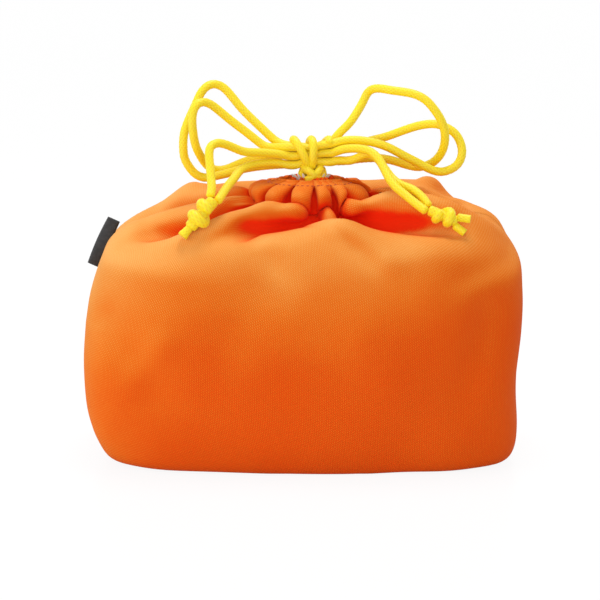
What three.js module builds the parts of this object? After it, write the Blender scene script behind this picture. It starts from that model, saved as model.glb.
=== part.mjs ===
// Drawstring lunch bag, filled and tied shut: front and back outer fabric, a pale lining, a gathered casing
// round the mouth, two drawstrings tied together in a bow, and a folded label in the left side seam.
// Millimetres. +Z is up, +X runs along the longest side, -Y is the front, and the origin is the base's middle.
import * as THREE from 'three';

// Cloth
const OUTER_CLOTH = 1.0; // thickness of the brushed outer fabric
const LINING_CLOTH = 0.6; // thickness of the lining
const GAP = 0.3; // clearance between neighbouring pieces
const LINING_GAP = 0.8; // clearance between the outer fabric and the lining

// Filled bag, from the base up
const BASE_LENGTH = 178;
const BASE_DEPTH = 94;
const BASE_SQUARENESS = 4.6; // 2 is an ellipse, more is squarer
const FOOT_LENGTH = 192;
const FOOT_DEPTH = 105;
const FOOT_HEIGHT = 7;
const BELLY_LENGTH = 206.6;
const BELLY_DEPTH = 116;
const BELLY_HEIGHT = 50;
const SHOULDER_LENGTH = 196;
const SHOULDER_DEPTH = 106;
const SHOULDER_HEIGHT = 91;
const CROWN_LENGTH = 170;
const CROWN_DEPTH = 82;
const CROWN_HEIGHT = 112;
const SLOPE_LENGTH = 108;
const SLOPE_DEPTH = 52;
const SLOPE_HEIGHT = 119;
const NECK_HEIGHT = 120.3;
const NECK_SQUARENESS = 2.0;
const BACK_CROWN_DEPTH = 98; // the back is fuller than the front
const BACK_SLOPE_DEPTH = 76;

// Mouth and its casing
const MOUTH_OFFSET = 4; // the top leans a little to the right of the middle
const MOUTH_LENGTH = 25;
const MOUTH_DEPTH = 17;
const CASING_CLOTH = 1.0;
const CASING_PLEATS = 14;
const CASING_PLEAT_DEPTH = 4;
const CASING_SLIT = 40; // degrees from the side at which each casing ends and a drawstring comes out

// Drawstring
const CORD = 4.0; // diameter
const CORD_SIDES = 8;
const CORD_CLEARANCE = 0.6; // on each side of the cord inside the casing

// Bow
const HALF_KNOT_LENGTH = 12;
const HALF_KNOT_DEPTH = 10.5;
const HALF_KNOT_HEIGHT = 6;
const HALF_KNOT_RISE = 1.8; // how far the half knot stands above the casing
const KNOT_LENGTH = 15;
const KNOT_DEPTH = 11.6;
const KNOT_HEIGHT = 14.8;
const WRAP_WIDTH = 8;
const WRAP_DEPTH = 13.2;
const WRAP_HEIGHT = 16;
const WRAP_THICKNESS = 3.6;
const RIGHT_STRAND_RISE = 1.5; // the strands leave the right end of the knot a little higher

// Knots and cut tips at the ends of the drawstrings
const LEFT_END_KNOT_LENGTH = 16;
const LEFT_END_KNOT_WIDTH = 11.4;
const RIGHT_END_KNOT_LENGTH = 13;
const RIGHT_END_KNOT_WIDTH = 9.6;
const TIP_LENGTH = 5;
const LEFT_END_KNOT_START = [-45.2, -37.6, -16.4]; // from the middle of the bow's knot
const LEFT_END_KNOT_WAY = [-10, -5, -11]; // direction in which the knot lies
const RIGHT_END_KNOT_START = [54.8, -33.5, -21.2];
const RIGHT_END_KNOT_WAY = [16.5, -3, -6.5];

// Label
const LABEL_WIDTH = 24; // along the seam
const LABEL_REACH = 6; // out from the seam
const LABEL_CLOTH = 0.35;
const LABEL_FOLD = 0.9; // thickness over both plies
const LABEL_STANDOFF = 0.7; // from the seam to the plies
const LABEL_HEIGHT = 99; // of its middle above the base

// Free stretches of the two drawstrings, as points from the middle of the bow's knot
const LEFT_LOOP_HIGH = [
  [-15.5, 4.5, 5.5], [-22.5, 6, 11.5], [-28, 7.5, 16.5], [-33.5, 9, 22], [-38, 10.5, 27.5], [-42, 11, 31.5],
  [-46.8, 9.5, 32.8], [-51, 6.8, 30], [-54, 4.5, 24], [-57, 2.5, 17.5], [-59.5, 0.5, 11], [-60, 0, 4.5],
  [-59.5, 0.5, -1.5], [-57, 1, -6], [-54, 1.5, -9.5], [-49.5, 2, -11], [-45, 2.5, -10], [-40, 3, -9],
  [-31, 3, -6.5], [-20.5, 2.5, -5],
];
const LEFT_LOOP_LOW = [
  [-16.5, 0, 3.8], [-21.5, 1, 4], [-25, 1.5, 6.5], [-30.5, 1, 11], [-37, 0.5, 16], [-42, 0, 20.2],
  [-46.5, -1, 24], [-50.8, -3, 25.8], [-54.2, -5.4, 23.6], [-55.4, -7, 18.4], [-55, -7, 12], [-54, -5.5, 5.5],
  [-52, -2.5, 0.5], [-50, 1, -3.5], [-47.5, 4.5, -6.5], [-44.5, 7, -8], [-40, 7.5, -7.5], [-33, 8, -4.5],
  [-22, 5.5, -1],
];
const LEFT_TAIL_HIGH = [
  [-15.5, -4, 1.2], [-23, -6.5, 2.2], [-31, -9.5, 3], [-35.5, -12, 5], [-39.5, -14.5, 7], [-43.5, -17, 8],
  [-46.5, -19.5, 6.5], [-47, -22, 3], [-46.5, -25, -1.5], [-46, -28.5, -6.5], [-45.5, -32, -10.5],
  [-46.2, -35.6, -14.5],
];
const LEFT_TAIL_LOW = [
  [-16.5, -3, -3], [-21.5, -4.5, -3], [-27.5, -7.5, -3.5], [-32.5, -12, -5], [-35.5, -18, -8],
  [-38.5, -25, -11], [-41, -32, -14], [-42.7, -37.4, -16.2],
];
const RIGHT_LOOP_HIGH = [
  [12.5, 3, 9.5], [18, 5, 14.5], [22, 8, 20], [25, 10.5, 25], [26.5, 11, 28.5], [29, 8.5, 30.5],
  [33, 5, 31], [37, 2, 30.5], [42.5, 0, 30], [48.5, -2, 29], [53.5, -3.5, 26.5], [57.5, -4.5, 22],
  [61, -4.5, 16.5], [62.5, -3.5, 11], [62.5, -1.5, 5.5], [61, 1.5, 0.5], [57.5, 5, -4], [51.5, 7, -6.5],
  [45.5, 7.5, -5.5], [39.5, 7, -3.5], [32.5, 6, -2], [23, 4, -2], [15, 2.5, -3],
];
const RIGHT_LOOP_LOW = [
  [12.5, 3, 2.5], [18.5, 5.5, 4], [24, 7.5, 5], [30, 8.5, 6.5], [34.5, 8.5, 7.5], [41, 7.5, 10],
  [47.5, 6, 12.5], [53, 5, 14], [59, 3.5, 14.5], [63.5, 2.5, 13], [68, 1.5, 10], [70.5, 0.5, 5],
  [71, -0.5, 1], [69, -1.5, -4], [65, -2.5, -6.5], [60.5, -3, -7.5], [55.5, -3, -6], [50, -3, -3],
  [43, -2.5, 0.5], [36.5, -2, 4], [30, -1.5, 6.2], [23, -1, 7.3], [15, -1, 7.2],
];
const RIGHT_TAIL_HIGH = [
  [15, -5.5, 3.6], [21.5, -8, 4.3], [27, -10.5, 3.5], [31, -13.5, 0.5], [33.5, -17, -3.5], [36, -21.5, -8],
  [39, -25, -11.5], [43, -28, -14.5], [47.5, -31.5, -17.8], [52.6, -35.2, -21.2],
];
const RIGHT_TAIL_LOW = [
  [12.5, -2.5, -2], [18.5, -3, -2], [23, -4, 0], [27.5, -6, 1.5], [31, -8.5, -0.5], [34.5, -12.5, -5],
  [37.5, -16.5, -8.5], [41.5, -20.5, -11], [46.5, -24, -12.5], [51, -27.7, -15.8], [54, -31.3, -19.6],
];

// Way of a drawstring from its casing's end to the half knot: distance from the mouth's middle outward and
// sideways, and the share of the rise
const LEAD = [
  [13.3, 5.6, 0], [12.4, 3.6, 0.1], [10.7, 2.6, 0.45], [9, 2.4, 0.85], [7.4, 2.4, 1],
];

const OUTER_FABRIC = new THREE.MeshStandardMaterial({ color: 0xf07a22, roughness: 0.9, metalness: 0 });
const PALE_LINING = new THREE.MeshStandardMaterial({ color: 0xf3e6d8, roughness: 0.95, metalness: 0 });
const YELLOW_CORD = new THREE.MeshStandardMaterial({ color: 0xf5d400, roughness: 0.8, metalness: 0 });
const BLACK_RIBBON = new THREE.MeshStandardMaterial({ color: 0x141414, roughness: 0.7, metalness: 0 });

// Sizes that follow from the ones above
const TUNNEL_WIDTH = CORD + 2 * CORD_CLEARANCE;
const TUNNEL_HEIGHT = 2 * CORD + 3 * GAP;
const RING_LENGTH = MOUTH_LENGTH / 2 + CASING_CLOTH + TUNNEL_WIDTH / 2;
const RING_DEPTH = MOUTH_DEPTH / 2 + CASING_CLOTH + TUNNEL_WIDTH / 2;
const CASING_BOTTOM = NECK_HEIGHT + GAP;
const CASING_TOP = CASING_BOTTOM + 2 * CASING_CLOTH + TUNNEL_HEIGHT;
const LOWER_CORD_HEIGHT = CASING_BOTTOM + CASING_CLOTH + GAP + CORD / 2;
const UPPER_CORD_HEIGHT = LOWER_CORD_HEIGHT + CORD + GAP;
const HALF_KNOT_TOP = CASING_TOP + HALF_KNOT_RISE;
const KNOT_MIDDLE = HALF_KNOT_TOP + GAP + WRAP_HEIGHT / 2;
const STRAND_PITCH = CORD + GAP;

// Outline of the filled bag

const LEVELS = new THREE.CatmullRomCurve3([
  new THREE.Vector3(BASE_LENGTH / 2, BASE_DEPTH / 2, 0),
  new THREE.Vector3(FOOT_LENGTH / 2, FOOT_DEPTH / 2, FOOT_HEIGHT),
  new THREE.Vector3(BELLY_LENGTH / 2, BELLY_DEPTH / 2, BELLY_HEIGHT),
  new THREE.Vector3(SHOULDER_LENGTH / 2, SHOULDER_DEPTH / 2, SHOULDER_HEIGHT),
  new THREE.Vector3(CROWN_LENGTH / 2, CROWN_DEPTH / 2, CROWN_HEIGHT),
  new THREE.Vector3(SLOPE_LENGTH / 2, SLOPE_DEPTH / 2, SLOPE_HEIGHT),
  new THREE.Vector3(RING_LENGTH, RING_DEPTH, NECK_HEIGHT),
]);
const ROW_COUNTS = [2, 2, 2, 3, 3, 2];
const COLUMNS = 32;

function rowLevels() {
  const levels = [0];
  ROW_COUNTS.forEach((count, level) => {
    for (let step = 1; step <= count; step += 1) levels.push(level + step / count);
  });
  return levels;
}

// How many times deeper than the front the back is at a level.
function backShare(level) {
  const crown = BACK_CROWN_DEPTH / CROWN_DEPTH;
  const slope = BACK_SLOPE_DEPTH / SLOPE_DEPTH;
  if (level < 3) return 1;
  if (level < 4) return THREE.MathUtils.lerp(1, crown, level - 3);
  if (level < 5) return THREE.MathUtils.lerp(crown, slope, level - 4);
  return THREE.MathUtils.lerp(slope, 1, level - 5);
}

// Point of the outer surface: across runs from the left side seam (0) to the right one (1), level from the
// base up.
function surfacePoint(side, across, level) {
  const size = LEVELS.getPoint(level / ROW_COUNTS.length);
  const power = THREE.MathUtils.lerp(BASE_SQUARENESS, NECK_SQUARENESS, level / ROW_COUNTS.length);
  const turn = Math.PI * across;
  const spread = Math.abs(Math.cos(turn)) ** power + Math.abs(Math.sin(turn)) ** power;
  const swell = spread ** (-1 / power);
  const x = -size.x * Math.cos(turn) * swell;
  const depth = side < 0 ? size.y : size.y * backShare(level);
  const y = side * depth * Math.sin(turn) * swell;
  const lean = MOUTH_OFFSET * THREE.MathUtils.smoothstep(level, 2, 3.3);
  return new THREE.Vector3(x + lean, y + side * GAP / 2, size.z);
}

// The same point moved inward by a depth, square to the surface.
function clothPoint(side, across, level, depth) {
  const point = surfacePoint(side, across, level);
  if (depth === 0) return point;
  const step = 0.004;
  const along = surfacePoint(side, Math.min(1, across + step), level);
  along.sub(surfacePoint(side, Math.max(0, across - step), level));
  const top = ROW_COUNTS.length;
  const upward = surfacePoint(side, across, Math.min(top, level + 10 * step));
  upward.sub(surfacePoint(side, across, Math.max(0, level - 10 * step)));
  const inward = along.cross(upward).normalize().multiplyScalar(side * depth);
  if (across === 0 || across === 1) inward.setY(0).setLength(depth);
  if (level === 0) inward.setZ(0).setLength(depth);
  point.add(inward);
  point.z = Math.max(point.z, depth);
  return point;
}

// Closed half shell of cloth between two depths below the outer surface.
function clothHalf(side, outerDepth, innerDepth) {
  const levels = rowLevels();
  const last = levels.length - 1;
  const sheet = (depth) => levels.map((level) => {
    const row = [];
    for (let column = 0; column <= COLUMNS; column += 1) {
      row.push(clothPoint(side, column / COLUMNS, level, depth));
    }
    return row;
  });
  const outer = sheet(outerDepth);
  const inner = sheet(innerDepth);
  const corners = [];
  const face = (...points) => {
    const ordered = side < 0 ? points : points.reverse();
    for (let corner = 2; corner < ordered.length; corner += 1) {
      corners.push(ordered[0], ordered[corner - 1], ordered[corner]);
    }
  };
  for (let row = 0; row < last; row += 1) {
    for (let column = 0; column < COLUMNS; column += 1) {
      face(outer[row][column], outer[row][column + 1], outer[row + 1][column + 1], outer[row + 1][column]);
      face(inner[row][column], inner[row + 1][column], inner[row + 1][column + 1], inner[row][column + 1]);
    }
    face(outer[row][0], outer[row + 1][0], inner[row + 1][0], inner[row][0]);
    face(outer[row + 1][COLUMNS], outer[row][COLUMNS], inner[row][COLUMNS], inner[row + 1][COLUMNS]);
  }
  const outerMiddle = new THREE.Vector3(0, side * BASE_DEPTH / 4, outerDepth);
  const innerMiddle = new THREE.Vector3(0, side * BASE_DEPTH / 4, innerDepth);
  for (let column = 0; column < COLUMNS; column += 1) {
    face(outer[last][column], outer[last][column + 1], inner[last][column + 1], inner[last][column]);
    face(outer[0][column + 1], outer[0][column], outerMiddle);
    face(inner[0][column], inner[0][column + 1], innerMiddle);
  }
  face(outer[0][0], outer[0][COLUMNS], outerMiddle);
  face(inner[0][COLUMNS], inner[0][0], innerMiddle);
  face(outer[0][COLUMNS], outer[0][0], inner[0][0], inner[0][COLUMNS]);
  return new THREE.BufferGeometry().setFromPoints(corners);
}

// Point of the ring that the drawstrings follow round the mouth, and the outward direction there.
function ringPoint(degrees, height) {
  const turn = THREE.MathUtils.degToRad(degrees);
  return new THREE.Vector3(MOUTH_OFFSET + RING_LENGTH * Math.cos(turn), RING_DEPTH * Math.sin(turn), height);
}

function ringOutward(degrees) {
  const turn = THREE.MathUtils.degToRad(degrees);
  return new THREE.Vector3(RING_DEPTH * Math.cos(turn), RING_LENGTH * Math.sin(turn), 0).normalize();
}

// Half of the gathered casing: a pleated tunnel, open at both ends, that the two drawstrings run through.
function casingHalf(startDegrees, endDegrees) {
  const stations = 40;
  const half = TUNNEL_WIDTH / 2;
  const bottom = CASING_BOTTOM + CASING_CLOTH;
  const top = CASING_TOP - CASING_CLOTH;
  const tunnel = [[-half, bottom], [half, bottom], [half, top], [-half, top]];
  const wall = half + CASING_CLOTH;
  const rings = [];
  for (let station = 0; station <= stations; station += 1) {
    const degrees = THREE.MathUtils.lerp(startDegrees, endDegrees, station / stations);
    const pleat = CASING_PLEAT_DEPTH * (1 - Math.cos(THREE.MathUtils.degToRad(degrees * CASING_PLEATS))) / 2;
    const foot = wall + pleat;
    const skin = [[-wall, CASING_BOTTOM], [foot, CASING_BOTTOM], [wall, CASING_TOP], [-wall, CASING_TOP]];
    const outward = ringOutward(degrees);
    const place = ([out, height]) => ringPoint(degrees, height).addScaledVector(outward, out);
    rings.push({ skin: skin.map(place), tunnel: tunnel.map(place) });
  }
  const corners = [];
  const face = (a, b, c, d) => corners.push(a, b, c, a, c, d);
  for (let side = 0; side < 4; side += 1) {
    const next = (side + 1) % 4;
    for (let station = 0; station < stations; station += 1) {
      const here = rings[station];
      const there = rings[station + 1];
      face(here.skin[side], there.skin[side], there.skin[next], here.skin[next]);
      face(here.tunnel[next], there.tunnel[next], there.tunnel[side], here.tunnel[side]);
    }
    const start = rings[0];
    const end = rings[stations];
    face(start.skin[side], start.skin[next], start.tunnel[next], start.tunnel[side]);
    face(end.skin[next], end.skin[side], end.tunnel[side], end.tunnel[next]);
  }
  return new THREE.BufferGeometry().setFromPoints(corners);
}

// Round cord along a smooth path.
function cordAlong(points, steps) {
  const section = [];
  for (let side = 0; side < CORD_SIDES; side += 1) {
    const turn = 2 * Math.PI * side / CORD_SIDES;
    section.push(new THREE.Vector2(CORD / 2 * Math.cos(turn), CORD / 2 * Math.sin(turn)));
  }
  return new THREE.ExtrudeGeometry(new THREE.Shape(section), {
    steps,
    extrudePath: new THREE.CatmullRomCurve3(points),
    bevelEnabled: false,
  });
}

// Drawstring from the half knot into its casing, once round the mouth and back; side -1 comes out left.
function drawstringRun(side, height) {
  const rise = HALF_KNOT_TOP - HALF_KNOT_HEIGHT / 2 - height;
  const lead = (sideways) => LEAD.map(([out, across, share]) => (
    new THREE.Vector3(MOUTH_OFFSET + side * out, sideways * across, height + rise * share)));
  const exit = side < 0 ? 180 : 0;
  const round = [];
  for (let degrees = CASING_SLIT; degrees <= 360 - CASING_SLIT; degrees += 20) {
    round.push(ringPoint(exit + degrees, height));
  }
  const sideways = Math.sign(round[0].y);
  return cordAlong([...lead(sideways).reverse(), ...round, ...lead(-sideways)], 36);
}

// Short straight root of a strand at one place on the knot's end.
function root(side, column, row) {
  const x = MOUTH_OFFSET + side * (KNOT_LENGTH / 2 + GAP);
  const lift = side > 0 ? RIGHT_STRAND_RISE : 0;
  const place = new THREE.Vector3(x, column * STRAND_PITCH / 2, KNOT_MIDDLE + lift + row * STRAND_PITCH);
  return [place, place.clone().setX(x + side * CORD / 2)];
}

function bowPoints(points) {
  return points.map(([x, y, z]) => new THREE.Vector3(MOUTH_OFFSET + x, y, KNOT_MIDDLE + z));
}

// Free strand of the bow: from its root at the knot, through its points, and back to another root or its end.
function strand(start, points, end, steps) {
  return cordAlong([...start, ...bowPoints(points), ...end.reverse()], steps);
}

// Solid of revolution about X through the given [along, radius] points, made oval by its two widths.
function barrel(profile, depth, height) {
  const points = profile.map(([along, radius]) => new THREE.Vector2(radius, along));
  const geometry = new THREE.LatheGeometry(points, 20);
  geometry.rotateZ(-Math.PI / 2);
  geometry.scale(1, depth / 2, height / 2);
  return geometry;
}

function halfKnot() {
  const half = HALF_KNOT_LENGTH / 2;
  const profile = [
    [-half, 0], [-half, 0.6], [-half * 0.7, 0.9], [0, 1], [half * 0.7, 0.9], [half, 0.6], [half, 0],
  ];
  const geometry = barrel(profile, HALF_KNOT_DEPTH, HALF_KNOT_HEIGHT);
  return geometry.translate(MOUTH_OFFSET, 0, HALF_KNOT_TOP - HALF_KNOT_HEIGHT / 2);
}

function knot() {
  const half = KNOT_LENGTH / 2;
  const groove = WRAP_WIDTH / 2 + GAP;
  const waist = 1 - 2 * (WRAP_THICKNESS + GAP) / KNOT_DEPTH;
  const profile = [
    [-half, 0], [-half, 0.9], [-half * 0.85, 1], [-groove, 1], [-groove, waist],
    [groove, waist], [groove, 1], [half * 0.85, 1], [half, 0.9], [half, 0],
  ];
  return barrel(profile, KNOT_DEPTH, KNOT_HEIGHT).translate(MOUTH_OFFSET, 0, KNOT_MIDDLE);
}

function wrap() {
  const half = WRAP_WIDTH / 2;
  const bore = 1 - 2 * WRAP_THICKNESS / WRAP_DEPTH;
  const profile = [
    [-half, bore], [-half, 0.88], [-half * 0.6, 1], [half * 0.6, 1], [half, 0.88], [half, bore],
    [-half, bore],
  ];
  return barrel(profile, WRAP_DEPTH, WRAP_HEIGHT).translate(MOUTH_OFFSET, 0, KNOT_MIDDLE);
}

// Knot at the end of a pair of tails: it lies from their last points onward, along a direction.
function endKnot(length, width) {
  const profile = [
    [0, 0], [0, 0.55], [length * 0.2, 0.9], [length * 0.5, 1], [length * 0.8, 0.85], [length, 0.5],
    [length, 0],
  ];
  return barrel(profile, width, width);
}

function tip() {
  return barrel([[0, 0], [0, 1], [TIP_LENGTH, 0.75], [TIP_LENGTH, 0]], CORD, CORD);
}

function lay(geometry, start, direction) {
  const turn = new THREE.Quaternion().setFromUnitVectors(new THREE.Vector3(1, 0, 0), direction);
  return geometry.applyQuaternion(turn).translate(start.x, start.y, start.z);
}

// Level at which the left side seam reaches a height, found by halving.
function seamLevel(height) {
  let low = 0;
  let high = ROW_COUNTS.length;
  for (let step = 0; step < 40; step += 1) {
    const middle = (low + high) / 2;
    if (LEVELS.getPoint(middle / ROW_COUNTS.length).z < height) low = middle;
    else high = middle;
  }
  return low;
}

// Folded ribbon standing out from the left side seam.
function label() {
  const half = LABEL_FOLD / 2;
  const inner = half - LABEL_CLOTH;
  const round = LABEL_REACH - half;
  const section = new THREE.Shape();
  section.moveTo(0, -half);
  section.lineTo(round, -half);
  section.absarc(round, 0, half, -Math.PI / 2, Math.PI / 2, false);
  section.lineTo(0, half);
  section.lineTo(0, inner);
  section.lineTo(round, inner);
  section.absarc(round, 0, inner, Math.PI / 2, -Math.PI / 2, true);
  section.lineTo(0, -inner);
  const geometry = new THREE.ExtrudeGeometry(section, {
    depth: LABEL_WIDTH,
    bevelEnabled: false,
    curveSegments: 5,
  });
  geometry.translate(LABEL_STANDOFF, 0, -LABEL_WIDTH / 2);
  const level = seamLevel(LABEL_HEIGHT);
  const seam = surfacePoint(-1, 0, level).setY(0);
  const upward = surfacePoint(-1, 0, level + 0.05).sub(surfacePoint(-1, 0, level - 0.05)).normalize();
  const outward = new THREE.Vector3(-upward.z, 0, upward.x);
  const sideways = new THREE.Vector3().crossVectors(upward, outward);
  const basis = new THREE.Matrix4().makeBasis(outward, sideways, upward);
  return geometry.applyMatrix4(basis).translate(seam.x, seam.y, seam.z);
}

// The bag

const bag = new THREE.Group();
bag.name = 'lunch_bag';

function add(name, geometry, material) {
  geometry.computeVertexNormals();
  const mesh = new THREE.Mesh(geometry, material);
  mesh.name = name;
  bag.add(mesh);
}

const liningDepth = OUTER_CLOTH + LINING_GAP;
add('front_panel', clothHalf(-1, 0, OUTER_CLOTH), OUTER_FABRIC);
add('back_panel', clothHalf(1, 0, OUTER_CLOTH), OUTER_FABRIC);
add('front_lining', clothHalf(-1, liningDepth, liningDepth + LINING_CLOTH), PALE_LINING);
add('back_lining', clothHalf(1, liningDepth, liningDepth + LINING_CLOTH), PALE_LINING);
add('front_casing', casingHalf(180 + CASING_SLIT, 360 - CASING_SLIT), OUTER_FABRIC);
add('back_casing', casingHalf(CASING_SLIT, 180 - CASING_SLIT), OUTER_FABRIC);
add('label_tab', label(), BLACK_RIBBON);

add('left_drawstring', drawstringRun(-1, UPPER_CORD_HEIGHT), YELLOW_CORD);
add('right_drawstring', drawstringRun(1, LOWER_CORD_HEIGHT), YELLOW_CORD);
add('bow_half_knot', halfKnot(), YELLOW_CORD);
add('bow_knot', knot(), YELLOW_CORD);
add('bow_wrap', wrap(), YELLOW_CORD);

add('left_loop_high', strand(root(-1, 1, 1), LEFT_LOOP_HIGH, root(-1, 1, -1), 16), YELLOW_CORD);
add('left_loop_low', strand(root(-1, -1, 1), LEFT_LOOP_LOW, root(-1, 1, 0), 14), YELLOW_CORD);
add('left_tail_high', strand(root(-1, -1, 0), LEFT_TAIL_HIGH, [], 7), YELLOW_CORD);
add('left_tail_low', strand(root(-1, -1, -1), LEFT_TAIL_LOW, [], 6), YELLOW_CORD);
add('right_loop_high', strand(root(1, 1, 1), RIGHT_LOOP_HIGH, root(1, 1, -1), 16), YELLOW_CORD);
add('right_loop_low', strand(root(1, 1, 0), RIGHT_LOOP_LOW, root(1, -1, 1), 16), YELLOW_CORD);
add('right_tail_high', strand(root(1, -1, 0), RIGHT_TAIL_HIGH, [], 6), YELLOW_CORD);
add('right_tail_low', strand(root(1, -1, -1), RIGHT_TAIL_LOW, [], 6), YELLOW_CORD);

const leftAlong = new THREE.Vector3(...LEFT_END_KNOT_WAY).normalize();
const leftKnotStart = bowPoints([LEFT_END_KNOT_START])[0];
const leftEndKnot = endKnot(LEFT_END_KNOT_LENGTH, LEFT_END_KNOT_WIDTH);
add('left_end_knot', lay(leftEndKnot, leftKnotStart, leftAlong), YELLOW_CORD);
const leftTipStart = leftKnotStart.clone().addScaledVector(leftAlong, LEFT_END_KNOT_LENGTH + GAP);
add('left_cord_tip', lay(tip(), leftTipStart, leftAlong), YELLOW_CORD);

const rightAlong = new THREE.Vector3(...RIGHT_END_KNOT_WAY).normalize();
const rightKnotStart = bowPoints([RIGHT_END_KNOT_START])[0];
const rightEndKnot = endKnot(RIGHT_END_KNOT_LENGTH, RIGHT_END_KNOT_WIDTH);
add('right_end_knot', lay(rightEndKnot, rightKnotStart, rightAlong), YELLOW_CORD);
const rightTipSide = new THREE.Vector3(0, 1, 0).cross(rightAlong).setLength(STRAND_PITCH / 2);
const rightTipStart = rightKnotStart.clone().addScaledVector(rightAlong, RIGHT_END_KNOT_LENGTH + GAP);
add('right_cord_tip_high', lay(tip(), rightTipStart.clone().add(rightTipSide), rightAlong), YELLOW_CORD);
add('right_cord_tip_low', lay(tip(), rightTipStart.clone().sub(rightTipSide), rightAlong), YELLOW_CORD);

export default bag;
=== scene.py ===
"""A filled drawstring lunch bag: orange twill gathered into a pleated collar, tied with a yellow braid.

Metres, +Z up, the base's middle at the origin and the front towards -Y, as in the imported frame.
"""

import math

import bpy
import numpy as np
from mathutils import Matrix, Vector


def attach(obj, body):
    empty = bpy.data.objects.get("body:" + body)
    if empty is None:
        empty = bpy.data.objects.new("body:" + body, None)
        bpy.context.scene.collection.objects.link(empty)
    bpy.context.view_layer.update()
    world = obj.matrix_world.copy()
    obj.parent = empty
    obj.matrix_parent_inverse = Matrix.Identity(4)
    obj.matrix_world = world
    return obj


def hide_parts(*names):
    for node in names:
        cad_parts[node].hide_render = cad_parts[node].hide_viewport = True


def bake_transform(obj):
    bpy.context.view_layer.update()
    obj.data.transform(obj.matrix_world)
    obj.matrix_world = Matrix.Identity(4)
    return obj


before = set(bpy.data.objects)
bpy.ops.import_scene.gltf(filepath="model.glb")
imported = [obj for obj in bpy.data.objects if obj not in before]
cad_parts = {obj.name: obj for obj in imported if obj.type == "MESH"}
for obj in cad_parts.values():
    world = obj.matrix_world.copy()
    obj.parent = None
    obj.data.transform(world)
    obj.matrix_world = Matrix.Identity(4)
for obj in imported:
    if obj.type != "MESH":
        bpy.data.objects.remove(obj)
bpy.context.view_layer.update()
SCENE = bpy.context.scene
SCENE.view_settings.view_transform = "Standard"
MM = 0.001


# Camera: the photograph looks at the front from a little above

CAMERA_DISTANCE = 1.1
CAMERA_ELEVATION = math.radians(11)
CAMERA_LENS = 138.9
CAMERA_TARGET = Vector((-0.0012, 0, 0.0725))


def place_camera():
    camera = bpy.data.cameras.new("camera")
    camera.lens = CAMERA_LENS
    camera.sensor_width = 36
    camera_object = bpy.data.objects.new("camera", camera)
    SCENE.collection.objects.link(camera_object)
    back = Vector((0, -math.cos(CAMERA_ELEVATION), math.sin(CAMERA_ELEVATION)))
    camera_object.location = CAMERA_TARGET + back * CAMERA_DISTANCE
    camera_object.rotation_euler = (-back).to_track_quat("-Z", "Y").to_euler()
    SCENE.camera = camera_object


place_camera()


# Small helpers

def smoothstep(low, high, value):
    share = np.clip((np.asarray(value, float) - low) / (high - low), 0, 1)
    return share * share * (3 - 2 * share)


def unit(vectors):
    return vectors / np.maximum(np.linalg.norm(vectors, axis=-1, keepdims=True), 1e-12)


def mesh_piece(name, vertices, faces, material, smooth=True):
    mesh = bpy.data.meshes.new(name)
    mesh.from_pydata(np.asarray(vertices).tolist(), [], faces)
    mesh.polygons.foreach_set("use_smooth", [smooth] * len(mesh.polygons))
    mesh.materials.append(material)
    mesh.update()
    piece = bpy.data.objects.new(name, mesh)
    SCENE.collection.objects.link(piece)
    return piece


def point_attribute(piece, name, values):
    attribute = piece.data.attributes.new(name, "FLOAT", "POINT")
    attribute.data.foreach_set("value", np.asarray(values, np.float32).ravel())


def set_grain(piece, places):
    """The piece's UV map, from one place on the flat cloth, in metres, for each vertex."""
    layer = piece.data.uv_layers.new(name="cloth_grain")
    corners = np.zeros(len(piece.data.loops), np.int32)
    piece.data.loops.foreach_get("vertex_index", corners)
    layer.data.foreach_set("uv", np.asarray(places)[corners].astype(np.float32).ravel())


def thicken(piece, thickness, offset):
    solid = piece.modifiers.new("thickness", "SOLIDIFY")
    solid.thickness = thickness * MM
    solid.offset = offset


def grid_faces(rows, columns):
    """Faces of an open grid whose points are numbered row by row."""
    faces = []
    for r in range(rows - 1):
        for c in range(columns - 1):
            low = r * columns + c
            faces.append((low, low + 1, low + columns + 1, low + columns))
    return faces


# Material helpers

def rgb(code):
    """A linear colour from a screen colour written in hex."""
    parts = [int(code[i:i + 2], 16) / 255 for i in (0, 2, 4)]
    return tuple(p / 12.92 if p <= 0.04045 else ((p + 0.055) / 1.055) ** 2.4 for p in parts) + (1.0,)


def new_material(name):
    material = bpy.data.materials.new(name)
    material.use_nodes = True
    return material, material.node_tree


def set_inputs(tree, node, **inputs):
    """Inputs of a node, each set to a plain value or linked to another node's output."""
    for key, value in inputs.items():
        socket = node.inputs[key.replace("_", " ")]
        if isinstance(value, bpy.types.NodeSocket):
            tree.links.new(value, socket)
        else:
            socket.default_value = value


def add_node(tree, kind, **inputs):
    node = tree.nodes.new(kind)
    set_inputs(tree, node, **inputs)
    return node


def set_shader(tree, **inputs):
    set_inputs(tree, tree.nodes["Principled BSDF"], **inputs)


def maths(tree, operation, *values):
    """Output of a maths node on plain numbers and other nodes' outputs."""
    node = tree.nodes.new("ShaderNodeMath")
    node.operation = operation
    for socket, value in zip(node.inputs, values):
        if isinstance(value, bpy.types.NodeSocket):
            tree.links.new(value, socket)
        else:
            socket.default_value = value
    return node.outputs["Value"]


def noise(tree, **inputs):
    coords = tree.nodes.new("ShaderNodeTexCoord")
    return add_node(tree, "ShaderNodeTexNoise", Vector=coords.outputs["Object"], **inputs).outputs["Fac"]


def waves(tree, direction, **inputs):
    """Bands along a direction of the piece's own UV map."""
    grain = tree.nodes.new("ShaderNodeUVMap")
    grain.uv_map = "cloth_grain"
    node = add_node(tree, "ShaderNodeTexWave", Vector=grain.outputs["UV"], **inputs)
    node.bands_direction = direction
    return node.outputs["Fac"]


def attribute(tree, name):
    node = tree.nodes.new("ShaderNodeAttribute")
    node.attribute_name = name
    return node.outputs["Fac"]


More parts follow.
